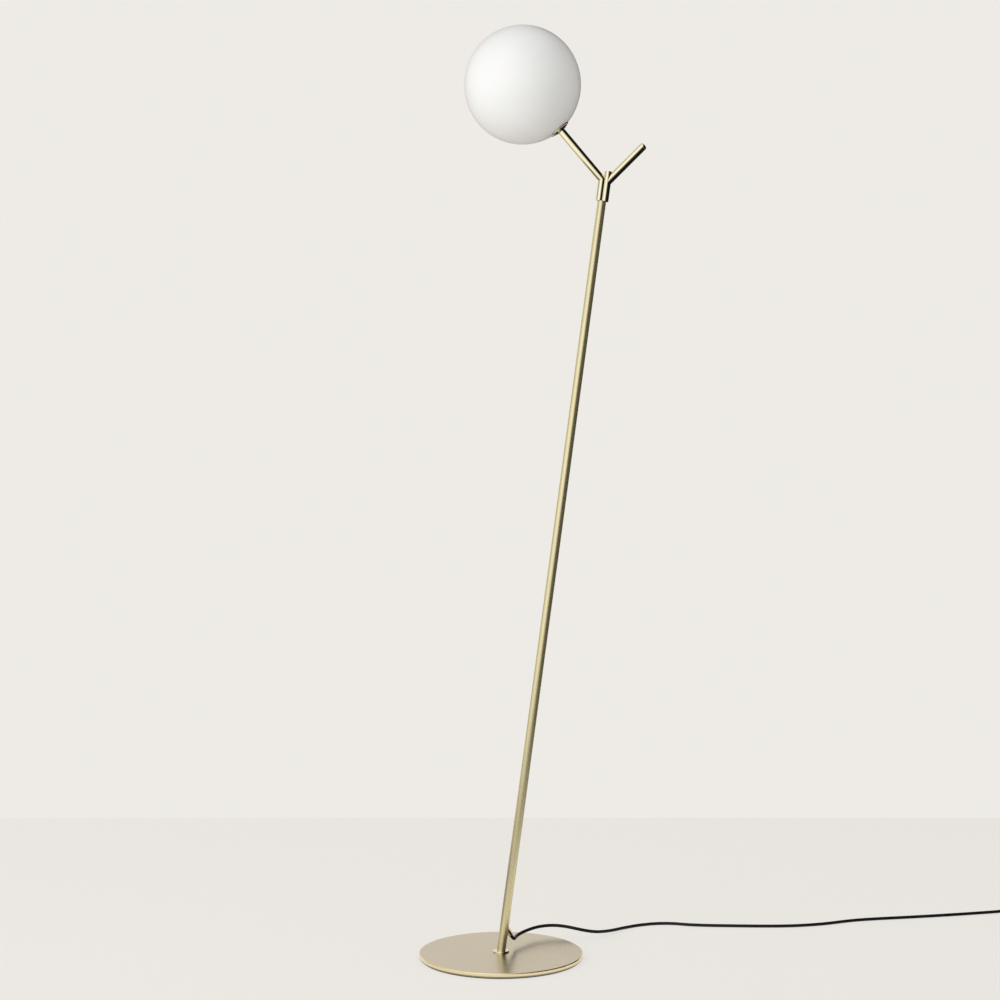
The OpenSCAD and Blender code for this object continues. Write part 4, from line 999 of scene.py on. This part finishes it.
def addCard(name, corners, stops, faces=None):
    # a plain level that changes along y, or with the distance from the lamp for the floor's faces
    paint, tree = stageMaterial(name)
    way = distance(tree, coordinate(tree)) if faces else parted(tree, coordinate(tree))["Y"]
    put(tree, "ShaderNodeOutputMaterial", {"Surface": glow(tree, "ShaderNodeEmission", rampOf(tree, way, stops))})
    made = addStage(name, corners, paint, faces)
    for ray in ("camera", "diffuse", "shadow", "transmission", "volume_scatter"):
        setattr(made, "visible_" + ray, False)


def addCards():
    for side, x, (near, far), (low, top), stops in cards["sides"]:
        addCard(side + " card", [(x, near, low), (x, far, low), (x, far, top), (x, near, top)], stops)
    (near, step, far), y, (low, middle, top) = cards["behindX"], cards["behindY"], cards["behindZ"]
    addCard("back card", [(step, y, low), (far, y, low), (far, y, top), (near, y, top), (near, y, middle),
                          (step, y, middle)], cards["behind"])
    for name, first, last, stops in cards["poolParts"]:
        count = round((last - first) / cards["poolStep"])
        corners = []
        for reach in (cards["poolFrom"], cards["poolTo"]):
            for k in range(count + 1):
                angle = math.radians(first + (last - first) * k / count)
                corners.append((reach * math.sin(angle), -reach * math.cos(angle), cards["poolAt"]))
        # a painted reflection of the floor, seen only in the metal
        addCard("floor pool " + name, corners, stops,
                [(k, k + 1, k + count + 2, k + count + 1) for k in range(count)])


def paleMaterial(name, shadow, oneSided):
    # even to the camera and through gloss and glass, but for the share that takes the shadow
    made, tree = stageMaterial(name)
    path = put(tree, "ShaderNodeLightPath")
    seen = calc(tree, "MAXIMUM", calc(tree, "MAXIMUM", path["Is Camera Ray"], path["Is Glossy Ray"]),
                path["Is Transmission Ray"])
    lit = put(tree, "ShaderNodeBsdfDiffuse", {"Color": room["colour"]})[0]
    paint = eitherShader(tree, times(tree, seen, 1 - shadow), lit,
                         glow(tree, "ShaderNodeEmission", room["colour"]))
    if oneSided:
        clear = put(tree, "ShaderNodeBsdfTransparent")[0]
        paint = eitherShader(tree, put(tree, "ShaderNodeNewGeometry")["Backfacing"], paint, clear)
    put(tree, "ShaderNodeOutputMaterial", {"Surface": paint})
    return made


def addRoom():
    half, deep, level = room["half"], room["wallAt"], room["floorAt"]
    foot, top = room["wallFoot"], room["height"]
    addStage("floor", [(-half, -half, level), (half, -half, level), (half, half, level), (-half, half, level)],
             paleMaterial("floor paint", room["shadow"], False))
    addStage("wall", [(-half, deep, foot), (half, deep, foot), (half, deep, top), (-half, deep, top)],
             paleMaterial("wall paint", 0.0, True))


# what gloss reflects at the horizon, by direction in degrees from the view towards the right: level, share of cool
light = {"ring": [(-180, 0.40, 0.6), (-116, 0.26, 0.8), (-84, 0.30, 1.0), (-62, 0.70, 1.0), (-42, 1.15, 1.0),
                  (-25, 1.28, 0.9), (-4, 1.02, 0.5), (8, 0.68, 0.3), (20, 0.18, 0.1), (40, 0.04, 0.0),
                  (116, 0.02, 0.0), (180, 0.40, 0.6)],
         "cool": (0.95, 1.0, 1.24), "warm": (1.06, 1.0, 0.84), "top": 0.75, "topEdge": (0.72, 0.97),
         "matt": 0.70, "mattColour": (1.0, 0.995, 0.99, 1.0)}


def addWorld():
    world = bpy.data.worlds.new("studio")
    scene.world = world
    world.use_nodes = True
    world.cycles.sampling_method = "NONE"
    tree = world.node_tree
    tree.nodes.clear()
    at = parted(tree, coordinate(tree, "Generated"))
    around = calc(tree, "ARCTAN2", at["X"], times(tree, at["Y"], -1.0))
    stops = [(math.radians(angle), tuple(level * (w + (c - w) * cool) for c, w in zip(light["cool"], light["warm"])))
             for angle, level, cool in light["ring"]]
    above = spread(tree, at["Z"], *light["topEdge"], smooth=True)
    level = mixed(tree, above, rampOf(tree, around, stops), (light["top"], light["top"], light["top"], 1))
    gloss = glow(tree, "ShaderNodeBackground", level)
    matt = glow(tree, "ShaderNodeBackground", light["mattColour"], light["matt"])
    seen = glow(tree, "ShaderNodeBackground", room["colour"])
    path = put(tree, "ShaderNodeLightPath")
    lit = eitherShader(tree, path["Is Glossy Ray"], matt, gloss)
    put(tree, "ShaderNodeOutputWorld", {"Surface": eitherShader(tree, path["Is Camera Ray"], lit, seen)})


lamp = {"place": Vector((-2.1, -2.0, 1.75)), "target": Vector((0.05, 0, 1.1)), "size": 1.6, "power": 36.0,
        "colour": (1.0, 1.0, 0.995)}


def addLamp():
    data = bpy.data.lights.new("key", "AREA")
    data.shape = "RECTANGLE"
    data.size = data.size_y = lamp["size"]
    data.energy = lamp["power"]
    data.color = lamp["colour"]
    made = bpy.data.objects.new("key", data)
    made.location = lamp["place"]
    made.rotation_euler = (lamp["target"] - lamp["place"]).to_track_quat("-Z", "Y").to_euler()
    scene.collection.objects.link(made)
    made.visible_glossy = False


print("floor, wall, cards and light")
addRoom()
addCards()
addWorld()
addLamp()
scene.view_settings.view_transform = "Standard"

bpy.context.view_layer.update()
